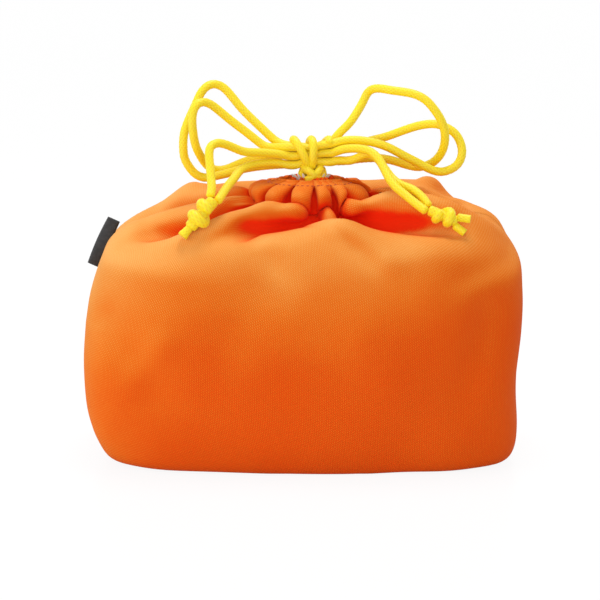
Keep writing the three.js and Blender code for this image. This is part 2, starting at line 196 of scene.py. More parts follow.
def colour_ramp(tree, share, stops):
    node = add_node(tree, "ShaderNodeValToRGB", Fac=share)
    elements = node.color_ramp.elements
    for _ in stops[2:]:
        elements.new(1.0)
    for element, (place, colour) in zip(elements, stops):
        element.position = place
        element.color = rgb(colour)
    return node.outputs["Color"]


def mixed(tree, blend_type, share, first, second):
    node = add_node(tree, "ShaderNodeMixRGB", Fac=share, Color1=first, Color2=second)
    node.blend_type = blend_type
    return node.outputs["Color"]


def bumped(tree, height, strength, distance):
    node = add_node(tree, "ShaderNodeBump", Height=height, Strength=strength, Distance=distance)
    return node.outputs["Normal"]


# Cord material: yellow braid with a soft polyester shine, and a painted shade, deeper yellow in the furrows
# between its yarns

def braid_material():
    material, tree = new_material("yellow_braid")
    # Painted shade: deeper yellow where the yarn lies low in a furrow, paler on its crests
    yarn = colour_ramp(tree, attribute(tree, "yarn_height"), [(0.05, "F2C200"), (0.75, "FFEA18")])
    cloud = noise(tree, Scale=90, Detail=3)
    fibre = noise(tree, Scale=5200, Detail=2)
    set_shader(
        tree,
        Base_Color=mixed(tree, "MULTIPLY", cloud, yarn, (1.0, 0.93, 0.8, 1)),
        Normal=bumped(tree, fibre, 0.25, 0.00006),
        Roughness=0.5,
        Sheen_Weight=0.25,
        Sheen_Roughness=0.4,
        Sheen_Tint=(1.0, 0.95, 0.5, 1),
        Subsurface_Weight=0.15,
        Subsurface_Radius=(0.002, 0.0014, 0.0003),
        Subsurface_Scale=1.0,
    )
    return material


YELLOW_BRAID = braid_material()


# Cords. The routes are those of the CAD cords, in millimetres from the knot's middle.

KNOT = np.array((4.0, 0.0, 141.6))
CORD = 4.0
CORD_SIDES = 40
RING_STEP = 0.45
CURVE_STEPS = 24

# Braid: yarns each way round the cord, their run, relief, level, roundness and rise at a crossing
YARNS = 8
YARN_RUN = 2.2
YARN_RELIEF = 0.24
YARN_LEVEL = 0.75
YARN_ROUNDNESS = 2.2
YARN_CROSSING = 0.55

# Rounded ends: length, share of the width left at the very end, and yarn height there
ROUND_END = 1.2
END_WIDTH = 0.25
END_HEIGHT = 0.2

# Softening passes along the loops, the tails and the drawstrings
LOOP_PASSES = 40
TAIL_PASSES = 12
RUN_PASSES = 30

# Strands in the knot: columns and rows at its faces and where the wrap grips them, and the right side's rise
FACE = 7.8
STRAND_COLUMN = 2.15
STRAND_PITCH = 4.3
RIGHT_RISE = 1.5
GRIPPED_COLUMN = 1.65
GRIPPED_PITCH = 3.3
GRIPPED_RISE = 0.75

# Where a strand starts, leaves the grip and opens out, from the knot's middle, shares of its open and gripped
# places where it opens out, and its lead past the face
STRAND_START = -0.2
STRAND_LOOSE = 2.5
STRAND_OPEN = 5.6
OPEN_SHARE = 0.7
GRIPPED_SHARE = 0.3
STRAND_LEAD = 2

# How much thinner the knot's grip makes a cord, where that fades, and how far from the knot it counts
GRIP = 0.16
GRIP_FADE = (2.0, 9.0)
GRIP_REACH = 22

# Wrap round the knot: reach, pitch, spread at the top, lean, first and last turn, and where it starts
WRAP_DEPTH = 5.2
WRAP_HEIGHT = 6.8
WRAP_PITCH = 4.6
WRAP_SPREAD = 0.8
WRAP_LEAN = 0.06
WRAP_TURNS = (-0.1, 2.1)
WRAP_START = 0.55

# Half knot under the bow: where the leads meet it, its middle, reach, overlap and widening, and the tilt,
# lean and start of each of its turns
HALF_KNOT_HEIGHT = 130.3
BALL_MIDDLE = np.array((4.6, -2.0, 133.2))
BALL_REACH = 4.3
BALL_OVERLAP = 1.02
BALL_WIDENING = 1.12
BALL_TURNS = ((38, 12, 0.6), (-40, -8, 2.4), (4, 60, 4.0))

# Drawstrings inside the casing: half width, half depth and height
LEFT_RUN = (8.2, 5.0, 127.2)
RIGHT_RUN = (10.6, 6.2, 123.4)
RUN_DEGREES = range(50, 311, 20)

# Leads to the half knot: shares of the run's half width and half depth and of the way up, and where they end
LEAD_SHARES = ((0.93, 0.62, 0.0), (0.84, 0.42, 0.4))
LEAD_END = (7.6, 2.5, 1.0)

# End knots: start, direction, length, reach, turns and slant
LEFT_END_KNOT = ((-45.2, -37.6, -16.4), (-10, -5, -11), 16.0, 3.5, 1.75, 1.6)
RIGHT_END_KNOT = ((54.8, -33.5, -21.2), (16.5, -3, -6.5), 13.0, 2.9, 1.6, 1.4)

# Turns of an end knot: start angle, inset from both ends and lag of the slant
END_KNOT_START = 0.6
END_KNOT_INSET = 2.2
END_KNOT_LAG = 0.7

# Shares of an end knot's reach at its ends and in its swelling, the swelling's roundness and place, and where
# the knot's core starts
END_KNOT_NARROW = 0.55
END_KNOT_SWELL = 0.45
END_KNOT_ROUNDNESS = 0.6
SWELL_SPAN = 1.1
SWELL_START = 0.05
END_KNOT_CORE = -1.5

LEFT_LOOP_HIGH = [
    (-15.5, 4.5, 5.5), (-22.5, 6, 11.5), (-28, 7.5, 16.5), (-33.5, 9, 22), (-38, 10.5, 27.5),
    (-42, 11, 31.5), (-46.8, 9.5, 32.8), (-51, 6.8, 30), (-54, 4.5, 24), (-57, 2.5, 17.5), (-59.5, 0.5, 11),
    (-60, 0, 4.5), (-59.5, 0.5, -1.5), (-57, 1, -6), (-54, 1.5, -9.5), (-49.5, 2, -11), (-45, 2.5, -10),
    (-40, 3, -9), (-31, 3, -6.5), (-20.5, 2.5, -5),
]
LEFT_LOOP_LOW = [
    (-16.5, 0, 3.8), (-21.5, 1, 4), (-25, 1.5, 6.5), (-30.5, 1, 11), (-37, 0.5, 16), (-42, 0, 20.2),
    (-46.5, -1, 24), (-50.8, -3, 25.8), (-54.2, -5.4, 23.6), (-55.4, -7, 18.4), (-55, -7, 12),
    (-54, -5.5, 5.5), (-52, -2.5, 0.5), (-50, 1, -3.5), (-47.5, 4.5, -6.5), (-44.5, 7, -8), (-40, 7.5, -7.5),
    (-33, 8, -4.5), (-22, 5.5, -1),
]
LEFT_TAIL_HIGH = [
    (-15.5, -4, 1.2), (-23, -6.5, 2.2), (-31, -9.5, 3), (-35.5, -12, 5), (-39.5, -14.5, 7), (-43.5, -17, 8),
    (-46.5, -19.5, 6.5), (-47, -22, 3), (-46.5, -25, -1.5), (-46, -28.5, -6.5), (-45.5, -32, -10.5),
    (-46.2, -35.6, -14.5),
]
LEFT_TAIL_LOW = [
    (-16.5, -3, -3), (-21.5, -4.5, -3), (-27.5, -7.5, -3.5), (-32.5, -12, -5), (-35.5, -18, -8),
    (-38.5, -25, -11), (-41, -32, -14), (-42.7, -37.4, -16.2),
]
RIGHT_LOOP_HIGH = [
    (12.5, 3, 9.5), (18, 5, 14.5), (22, 8, 20), (25, 10.5, 25), (26.5, 11, 28.5), (29, 8.5, 30.5),
    (33, 5, 31), (37, 2, 30.5), (42.5, 0, 30), (48.5, -2, 29), (53.5, -3.5, 26.5), (57.5, -4.5, 22),
    (61, -4.5, 16.5), (62.5, -3.5, 11), (62.5, -1.5, 5.5), (61, 1.5, 0.5), (57.5, 5, -4), (51.5, 7, -6.5),
    (45.5, 7.5, -5.5), (39.5, 7, -3.5), (32.5, 6, -2), (23, 4, -2), (15, 2.5, -3),
]
RIGHT_LOOP_LOW = [
    (12.5, 3, 2.5), (18.5, 5.5, 4), (24, 7.5, 5), (30, 8.5, 6.5), (34.5, 8.5, 7.5), (41, 7.5, 10),
    (47.5, 6, 12.5), (53, 5, 14), (59, 3.5, 14.5), (63.5, 2.5, 13), (68, 1.5, 10), (70.5, 0.5, 5),
    (71, -0.5, 1), (69, -1.5, -4), (65, -2.5, -6.5), (60.5, -3, -7.5), (55.5, -3, -6), (50, -3, -3),
    (43, -2.5, 0.5), (36.5, -2, 4), (30, -1.5, 6.2), (23, -1, 7.3), (15, -1, 7.2),
]
RIGHT_TAIL_HIGH = [
    (15, -5.5, 3.6), (21.5, -8, 4.3), (27, -10.5, 3.5), (31, -13.5, 0.5), (33.5, -17, -3.5), (36, -21.5, -8),
    (39, -25, -11.5), (43, -28, -14.5), (47.5, -31.5, -17.8), (52.6, -35.2, -21.2),
]
RIGHT_TAIL_LOW = [
    (12.5, -2.5, -2), (18.5, -3, -2), (23, -4, 0), (27.5, -6, 1.5), (31, -8.5, -0.5), (34.5, -12.5, -5),
    (37.5, -16.5, -8.5), (41.5, -20.5, -11), (46.5, -24, -12.5), (51, -27.7, -15.8), (54, -31.3, -19.6),
]


def smooth_route(points, step=RING_STEP):
    """A smooth curve through the points, in even steps."""
    points = np.asarray(points, float)
    lead_in = 2 * points[0] - points[1]
    lead_out = 2 * points[-1] - points[-2]
    padded = np.vstack([lead_in, points, lead_out])
    pieces = []
    share = np.linspace(0, 1, CURVE_STEPS, endpoint=False)[:, None]
    for i in range(1, len(padded) - 2):
        a, b, c, d = padded[i - 1:i + 3]
        knots = [0.0]
        for start, end in ((a, b), (b, c), (c, d)):
            knots.append(knots[-1] + max(np.linalg.norm(end - start), 1e-6) ** 0.5)
        t = knots[1] + share * (knots[2] - knots[1])
        ab = ((knots[1] - t) * a + (t - knots[0]) * b) / (knots[1] - knots[0])
        bc = ((knots[2] - t) * b + (t - knots[1]) * c) / (knots[2] - knots[1])
        cd = ((knots[3] - t) * c + (t - knots[2]) * d) / (knots[3] - knots[2])
        abc = ((knots[2] - t) * ab + (t - knots[0]) * bc) / (knots[2] - knots[0])
        bcd = ((knots[3] - t) * bc + (t - knots[1]) * cd) / (knots[3] - knots[1])
        pieces.append(((knots[2] - t) * abc + (t - knots[1]) * bcd) / (knots[2] - knots[1]))
    pieces.append(points[-1:])
    return even_steps(np.vstack(pieces), step)


def run_along(path):
    """Distance from a path's start at each of its points."""
    return np.concatenate([[0], np.cumsum(np.linalg.norm(np.diff(path, axis=0), axis=1))])


def even_steps(path, step):
    run = run_along(path)
    count = max(int(round(run[-1] / step)), 4)
    at = np.linspace(0, run[-1], count + 1)
    return np.stack([np.interp(at, run, path[:, k]) for k in range(3)], 1)


def soften(path, times):
    path = path.copy()
    for _ in range(times):
        path[1:-1] = 0.25 * path[:-2] + 0.5 * path[1:-1] + 0.25 * path[2:]
    return path


def travelling_frames(path):
    """Two crosswise directions along a path, carried on without twist."""
    along = unit(np.gradient(path, axis=0))
    first = np.cross(along[0], (0.0, 0.0, 1.0))
    if np.linalg.norm(first) < 0.1:
        first = np.cross(along[0], (0.0, 1.0, 0.0))
    across = np.zeros_like(path)
    across[0] = first / np.linalg.norm(first)
    for i in range(1, len(path)):
        carried = across[i - 1] - along[i] * np.dot(across[i - 1], along[i])
        across[i] = carried / np.linalg.norm(carried)
    return across, np.cross(along, across)


def braid_relief(turn, run):
    """Height of the braid's yarns, 0 to 1, over the cord's surface."""
    p = YARNS * turn + run / YARN_RUN
    q = YARNS * turn - run / YARN_RUN
    one = 1 - np.abs(2 * (p - np.floor(p)) - 1) ** YARN_ROUNDNESS
    one = one + YARN_CROSSING * np.sin(np.pi * (q + np.floor(p)))
    other = 1 - np.abs(2 * (q - np.floor(q)) - 1) ** YARN_ROUNDNESS
    other = other + YARN_CROSSING * np.sin(np.pi * (p + np.floor(q) + 1))
    return np.clip(np.maximum(one, other) / (1 + YARN_CROSSING), 0, 1)


def braided_tube(path, radius, round_ends=(True, True)):
    """Vertices, faces and yarn heights of one length of braid along a path in millimetres."""
    count = len(path)
    run = run_along(path)
    radius = np.broadcast_to(np.asarray(radius, float), (count,)).copy()
    for distance, is_round in zip((run, run[-1] - run), round_ends):
        if is_round:
            inward = 1 - np.clip(distance / ROUND_END, 0.02, 1)
            radius *= np.sqrt(np.clip(1 - inward ** 2, 0, 1)) * (1 - END_WIDTH) + END_WIDTH
    across, up = travelling_frames(path)
    turn = np.arange(CORD_SIDES) / CORD_SIDES
    relief = braid_relief(turn[None, :], run[:, None])
    reach = radius[:, None] + YARN_RELIEF * (relief - YARN_LEVEL)
    angle = 2 * math.pi * turn
    ring = across[:, None, :] * np.cos(angle)[None, :, None] + up[:, None, :] * np.sin(angle)[None, :, None]
    vertices = (path[:, None, :] + ring * reach[..., None]).reshape(-1, 3)
    faces = []
    for r in range(count - 1):
        low = r * CORD_SIDES
        for c in range(CORD_SIDES):
            n = (c + 1) % CORD_SIDES
            faces.append((low + c, low + n, low + CORD_SIDES + n, low + CORD_SIDES + c))
    first = len(vertices)
    vertices = np.vstack([vertices, path[0], path[-1]])
    last = (count - 1) * CORD_SIDES
    for c in range(CORD_SIDES):
        n = (c + 1) % CORD_SIDES
        faces.append((n, c, first))
        faces.append((last + c, last + n, first + 1))
    heights = np.concatenate([relief.ravel(), [END_HEIGHT, END_HEIGHT]])
    return vertices, faces, heights


def braid_piece(name, lengths):
    """One piece made of one or more lengths of braid."""
    vertices = []
    faces = []
    heights = []
    offset = 0
    for tube_vertices, tube_faces, tube_heights in lengths:
        vertices.append(tube_vertices)
        faces += [tuple(i + offset for i in face) for face in tube_faces]
        heights.append(tube_heights)
        offset += len(tube_vertices)
    piece = mesh_piece(name, np.vstack(vertices) * MM, faces, YELLOW_BRAID)
    point_attribute(piece, "yarn_height", np.concatenate(heights))
    return piece


def strand(side, column, row):
    """Points of one strand from the middle of the knot out through its face, squeezed under the wrap."""
    rise = RIGHT_RISE if side > 0 else 0.0
    low = np.array((0.0, column * STRAND_COLUMN, rise + row * STRAND_PITCH))
    squeezed = np.array((0.0, column * GRIPPED_COLUMN, GRIPPED_RISE + row * GRIPPED_PITCH))
    return [
        squeezed + (side * STRAND_START, 0, 0),
        squeezed + (side * STRAND_LOOSE, 0, 0),
        low * OPEN_SHARE + squeezed * GRIPPED_SHARE + (side * STRAND_OPEN, 0, 0),
        low + (side * FACE, 0, 0),
        low + (side * (FACE + STRAND_LEAD), 0, 0),
    ]


def loop_path(start, points, end):
    whole = strand(*start) + [np.array(p, float) for p in points] + strand(*end)[::-1]
    return soften(smooth_route(np.array(whole) + KNOT), LOOP_PASSES)


def tail_path(start, points):
    whole = strand(*start) + [np.array(p, float) for p in points]
    return soften(smooth_route(np.array(whole) + KNOT), TAIL_PASSES)


def squeezed_radius(path):
    """The cord's radius, a little less where the knot grips it."""
    out = np.abs(path[:, 0] - KNOT[0])
    near = np.linalg.norm(path - KNOT, axis=1) < GRIP_REACH
    grip = np.where(near, 1 - smoothstep(*GRIP_FADE, out), 0)
    return CORD / 2 * (1 - GRIP * grip)


LOOPS = {
    "left_loop_high": ((-1, 1, 1), LEFT_LOOP_HIGH, (-1, 1, -1)),
    "left_loop_low": ((-1, -1, 1), LEFT_LOOP_LOW, (-1, 1, 0)),
    "right_loop_high": ((1, 1, 1), RIGHT_LOOP_HIGH, (1, 1, -1)),
    "right_loop_low": ((1, 1, 0), RIGHT_LOOP_LOW, (1, -1, 1)),
}
TAILS = {
    "left_tail_high": ((-1, -1, 0), LEFT_TAIL_HIGH),
    "left_tail_low": ((-1, -1, -1), LEFT_TAIL_LOW),
    "right_tail_high": ((1, -1, 0), RIGHT_TAIL_HIGH),
    "right_tail_low": ((1, -1, -1), RIGHT_TAIL_LOW),
}
CORD_PATHS = {name: loop_path(*facts) for name, facts in LOOPS.items()}
CORD_PATHS.update({name: tail_path(*facts) for name, facts in TAILS.items()})


def wrap_path():
    """The turns of cord that bind the bow's strands together, spread at the top and close at the bottom."""
    turn = np.linspace(*WRAP_TURNS, 240)
    angle = 2 * math.pi * turn + math.pi * WRAP_START
    y = WRAP_DEPTH * np.cos(angle)
    z = WRAP_HEIGHT * np.sin(angle)
    spread = 1.0 + WRAP_SPREAD * z / WRAP_HEIGHT
    x = (turn - 1.0) * WRAP_PITCH * spread
    path = np.stack([x + WRAP_LEAN * z, y, z + GRIPPED_RISE], 1)
    return even_steps(path + KNOT, RING_STEP)


def half_knot_paths():
    """The crossing of the two drawstrings under the bow, drawn up into a round knot."""
    paths = []
    for tilt, lean, start in BALL_TURNS:
        angle = start + np.linspace(0, 2 * math.pi * BALL_OVERLAP, 120)
        ring = np.stack([np.cos(angle), np.sin(angle), 0 * angle], 1) * BALL_REACH
        tilt = math.radians(tilt)
        lean = math.radians(lean)
        x = ring[:, 0] * math.cos(tilt)
        z = ring[:, 0] * math.sin(tilt)
        y = ring[:, 1] * math.cos(lean)
        z = z + ring[:, 1] * math.sin(lean)
        paths.append(even_steps(np.stack([x * BALL_WIDENING, y, z], 1) + BALL_MIDDLE, RING_STEP))
    return paths


def run_path(exit_side, wide, deep, height):
    """A drawstring's way round the mouth inside the casing, and its two leads to the half knot."""
    lead = []
    ways = [(out * wide, sideways * deep, share) for out, sideways, share in LEAD_SHARES]
    for out, sideways, share in ways + [LEAD_END]:
        z = height + share * (HALF_KNOT_HEIGHT - height)
        lead.append((KNOT[0] + exit_side * out, sideways, z))
    turned = math.pi if exit_side < 0 else 0.0
    ring = []
    for degrees in RUN_DEGREES:
        angle = turned + math.radians(degrees)
        ring.append((KNOT[0] + wide * math.cos(angle), deep * math.sin(angle), height))
    first = [(x, exit_side * y, z) for x, y, z in lead]
    last = [(x, -exit_side * y, z) for x, y, z in lead]
    return soften(smooth_route(first[::-1] + ring + last), RUN_PASSES)


def end_knot_paths(start, along, length, reach, turns, slant):
    """The slanting turns and the core of the overhand knot that joins two tails."""
    start = np.array(start) + KNOT
    along = unit(np.array(along, float))
    across = unit(np.cross(along, (0.0, 1.0, 0.0)))
    front = np.cross(along, across)
    share = np.linspace(0, 1, 200)
    angle = 2 * math.pi * turns * share + END_KNOT_START
    swell = np.sin(math.pi * np.clip(share * SWELL_SPAN - SWELL_START, 0, 1)) ** END_KNOT_ROUNDNESS
    taper = END_KNOT_NARROW + END_KNOT_SWELL * swell
    run = END_KNOT_INSET + (length - 2 * END_KNOT_INSET) * share + slant * np.cos(angle - END_KNOT_LAG)
    outward = across * np.cos(angle)[:, None] + front * np.sin(angle)[:, None]
    turn_path = start + along * run[:, None] + outward * (reach * taper)[:, None]
    core = start + along * np.linspace(END_KNOT_CORE, length, 40)[:, None]
    return even_steps(turn_path, RING_STEP), even_steps(core, RING_STEP)


# Cloth finishes

# Scale of a wave texture times the distance between two of its bands, straight and diagonal
STRAIGHT_WAVE = 0.314
DIAGONAL_WAVE = 0.628
RIBBON_PERIOD = 0.0005

# Twill: spacing of threads against ribs, shares of its nap, clouds and grain, and places of its tones, which
# the painted light moves towards a pale painted highlight
THREAD_SPACING = 0.7
NAP_SHARE = 0.5
CLOUD_SHARE = 0.35
GRAIN_SHARE = 0.55
TONE_SCALE = 0.62
TONE_PLACES = (0.25, 0.45, 0.64, 0.92)


def twill_material(name, colours, fold_shade_colour, period, relief, sheen, sheen_tint):
    """Brushed twill with painted light: paler where the painted light falls on its nap, and a painted shade
    colour in its folds.
    """
    material, tree = new_material(name)
    ribs = waves(
        tree, "DIAGONAL", Scale=DIAGONAL_WAVE / period, Distortion=1.0, Detail=2.0, Detail_Scale=3.0)
    threads = waves(tree, "X", Scale=STRAIGHT_WAVE / (period * THREAD_SPACING), Distortion=0.6, Detail=1.0)
    nap = noise(tree, Scale=1500.0, Detail=4.0, Roughness=0.7)
    cloud = noise(tree, Scale=22.0, Detail=4.0, Roughness=0.55)
    grain = maths(tree, "MULTIPLY_ADD", nap, NAP_SHARE, maths(tree, "MULTIPLY", threads, ribs))
    # Painted light: the attribute lifts the tone towards the pale end of the ramp
    clouds_and_painted_light = maths(tree, "MULTIPLY_ADD", cloud, CLOUD_SHARE, attribute(tree, "painted_light"))
    dotted = maths(tree, "MULTIPLY_ADD", grain, GRAIN_SHARE, clouds_and_painted_light)
    tone = maths(tree, "MULTIPLY", dotted, TONE_SCALE)
    open_cloth = colour_ramp(tree, tone, list(zip(TONE_PLACES, colours)))
    # Painted shade: the fold shade colour is mixed in where the cloth lies deep in a fold
    set_shader(
        tree,
        Base_Color=mixed(tree, "MIX", attribute(tree, "painted_fold_shade"), open_cloth, rgb(fold_shade_colour)),
        Normal=bumped(tree, grain, 0.6, relief),
        Roughness=0.85,
        Specular_IOR_Level=0.1,
        Sheen_Weight=sheen,
        Sheen_Roughness=0.45,
        Sheen_Tint=sheen_tint,
    )
    return material


# Deep orange tones up to a pale painted highlight, and a redder painted shade in the folds
ORANGE_TWILL = twill_material(
    "orange_twill",
    colours=("E44C06", "EC6C0E", "EE8C32", "F6B466"),
    fold_shade_colour="F23206",
    period=0.00115,
    relief=0.00010,
    sheen=0.10,
    sheen_tint=(1.0, 0.62, 0.25, 1),
)
# Pale tones up to a painted highlight, and a darker painted shade in the folds
PALE_LINING = twill_material(
    "pale_lining",
    colours=("E6DED0", "EFE9DE", "F4EFE5", "F7F3EA"),
    fold_shade_colour="CDBBA6",
    period=0.0006,
    relief=0.00004,
    sheen=0.15,
    sheen_tint=(1.0, 1.0, 1.0, 1),
)


def ribbon_material():
    """Black woven label ribbon: fine cross ribs and a faint satin shine."""
    material, tree = new_material("black_ribbon")
    ribs = waves(tree, "Y", Scale=STRAIGHT_WAVE / RIBBON_PERIOD, Distortion=0.4, Detail=1.0)
    dust = noise(tree, Scale=700.0, Detail=3.0)
    set_shader(
        tree,
        Base_Color=colour_ramp(tree, dust, [(0.35, "0E0E10"), (0.8, "2A2A2D")]),
        Normal=bumped(tree, ribs, 0.5, 0.00005),
        Roughness=0.55,
        Sheen_Weight=0.2,
    )
    return material


def thread_material(name, colour):
    material, tree = new_material(name)
    twist = noise(tree, Scale=2600.0, Detail=2.0)
    set_shader(
        tree,
        Base_Color=mixed(tree, "MULTIPLY", twist, rgb(colour), (0.7, 0.62, 0.55, 1)),
        Normal=bumped(tree, twist, 0.4, 0.00005),
        Roughness=0.5,
        Sheen_Weight=0.2,
    )
    return material


BLACK_RIBBON = ribbon_material()
ORANGE_THREAD = thread_material("orange_thread", "CE4408")
BLACK_THREAD = thread_material("black_thread", "1A1A1C")


# Bag. Levels from the base up, in millimetres: height, left reach, right reach, half depth, squareness.

BODY_LEVELS = [
    (0.0, 84.0, 91.0, 45.0, 4.4),
    (0.5, 88.5, 95.0, 47.6, 4.4),
    (3.0, 92.8, 98.6, 50.2, 4.4),
    (8.0, 96.2, 100.8, 52.6, 4.3),
    (16.0, 99.6, 101.8, 55.0, 4.2),
    (28.0, 102.4, 102.4, 57.0, 4.0),
    (48.0, 103.4, 103.3, 57.9, 3.9),
    (66.0, 102.3, 103.4, 57.0, 3.8),
]
TOP_LEVELS = [
    (66.0, 102.3, 103.4, 57.0, 3.8),
    (80.0, 99.8, 103.2, 55.7, 3.7),
    (95.0, 94.6, 101.4, 53.0, 3.5),
    (106.0, 88.6, 94.0, 48.0, 3.2),
    (112.5, 80.0, 83.5, 41.5, 2.9),
    (116.0, 64.0, 68.0, 34.5, 2.6),
    (116.0, 46.0, 53.0, 28.5, 2.3),
    (115.5, 31.0, 40.0, 24.0, 2.1),
    (115.5, 22.0, 31.0, 20.5, 2.0),
    (122.0, 19.5, 27.5, 18.5, 2.0),
    (127.5, 15.5, 23.5, 15.0, 2.0),
    (130.0, 9.5, 17.5, 10.0, 2.0),
]
MOUTH_OFFSET = 4.0
COLUMNS = 132
TOP_ROWS = 36
BODY_ROWS = 26
PROFILE_STEPS = 30
OUTLINE_POINTS = 8001

# Shares of a level's left and right reach and of its half depth in its mean reach
WIDTH_SHARE = 0.375
DEPTH_SHARE = 0.25


def outline(angle, left, right, half_depth, squareness):
    cosine = np.cos(angle)
    sine = np.sin(angle)
    stretch = (np.abs(cosine) ** squareness + np.abs(sine) ** squareness) ** (-1 / squareness)
    middle = (right - left) / 2
    return middle + (right + left) / 2 * cosine * stretch, half_depth * sine * stretch


def levels_in_rows(levels, count):
    """The levels joined by a smooth profile and cut into rows of even width."""
    levels = np.array(levels, float)
    padded = np.vstack([levels[:1], levels, levels[-1:]])
    fine = []
    share = np.linspace(0, 1, PROFILE_STEPS, endpoint=False)[:, None]
    for i in range(1, len(padded) - 2):
        a, b, c, d = padded[i - 1:i + 3]
        bend = (2 * a - 5 * b + 4 * c - d) * share ** 2
        twist = (3 * b - a - 3 * c + d) * share ** 3
        fine.append(0.5 * (2 * b + (c - a) * share + bend + twist))
    fine.append(levels[-1:])
    fine = np.vstack(fine)
    reach = (fine[:, 1] + fine[:, 2]) * WIDTH_SHARE + fine[:, 3] * DEPTH_SHARE
    run = np.concatenate([[0], np.cumsum(np.hypot(np.diff(reach), np.diff(fine[:, 0])))])
    at = np.linspace(0, run[-1], count)
    return np.stack([np.interp(at, run, fine[:, k]) for k in range(5)], 1)


def even_angles(count, level):
    """Angles that stand evenly along a level's outline, from the right-hand side seam."""
    dense = np.linspace(0, 2 * math.pi, OUTLINE_POINTS)
    x, y = outline(dense, *level)
    run = np.concatenate([[0], np.cumsum(np.hypot(np.diff(x), np.diff(y)))])
    return np.interp(np.arange(count) / count * run[-1], run, dense)


def grid_normals(grid):
    across = np.roll(grid, -1, 1) - np.roll(grid, 1, 1)
    along = np.gradient(grid, axis=0)
    return unit(np.cross(across, along))


# Gathered top: an open tube of cloth that the drawstrings draw in and that folds over the filling

# Ease of the cut cloth: direction in degrees, where it starts and is full, and the share of extra length
EASE = [
    (270, 0.35, 0.95, -0.10), (180, 0.30, 0.90, -0.20), (0, 0.30, 0.90, -0.12), (90, 0.35, 0.95, 0.47),
    (310, 0.50, 0.95, -0.10), (230, 0.50, 0.95, -0.16), (140, 0.50, 0.95, -0.25), (40, 0.50, 0.95, -0.18),
]
PLAIN_EASE = 0.03
RIM_TAPER = 0.4
CROWN_START = 0.42

# Shares of the way up between which the columns turn to stand evenly, the ease grows and the rim tapers
TURNING = (0.25, 1.0)
PLAIN_EASE_RISE = (0.3, 0.6)
EASE_RISE = (0.4, 0.6)
TAPER_RISE = (0.45, 1.0)
CLIMB_BLUR = 9

# Petals of the drawn rim, from the left side seam over the front: width in degrees and depth in millimetres
PETALS = [
    (34, 8.0), (31, 7.5), (30, 7.5), (12, 4.5), (11, 4.0), (12, 4.5), (36, 8.0), (34, 8.0), (30, 7.5),
    (26, 7.0), (24, 6.5), (28, 7.5), (26, 7.0), (26, 7.0),
]
COLLAR_ROWS = 7

# Petals: cloth for their width and depth, pinch between them, roundness, inset, spread, closing and lift
PETAL_WIDTH_CLOTH = 0.3
PETAL_DEPTH_CLOTH = 2.0
PETAL_PINCH = 0.10
PETAL_ROUNDNESS = 0.75
PETAL_INSET = 0.55
PETAL_SPREAD = 1.1
PETAL_CLOSING = 0.35
PETAL_LIFT = 0.25

# Cloth in the simulation: steps, passes in each, thickness, pressure from inside, weight and stiffness
CLOTH_STEPS = 90
DRAWN_STEP = 60
CLOTH_PASSES = 16
CLOTH_SEED = 3
CLOTH_THICKNESS = 2.8
CLOTH_PRESS = 0.010
CLOTH_WEIGHT = 0.012
CLOTH_DRAG = 0.80
CRUSH = 0.25
SKEW = 0.15
STIFF_NEAR = 0.35
STIFF_FAR = 0.25
START_JITTER = 0.15
HELD_ROWS = 2
FOLDING_START = 0.40
TOUCH_REACH = 1.8
PAIR_STEPS = 3
FAR_PASSES = 2
APART_PASSES = 4

# Hold of the drawn shape: how it loosens and ends up the wall, and how it grows up the collar
HOLD = 0.5
WALL_LOOSENING = 0.7
WALL_LOOSENS = (0.03, 0.25)
WALL_ENDS = (0.25, 0.40)
COLLAR_HOLD = 0.25
COLLAR_HOLD_START = 0.25

# Filling that the gathered cloth lies on
FILLING_TOP = 96.0
FILLING_SHOULDER = 74
FILLING_MIDDLE = 2
FILLING_HALF_LENGTH = 96
FILLING_HALF_DEPTH = 50
FILLING_SQUARENESS = 3.4
FILLING_LIFT = 2.0


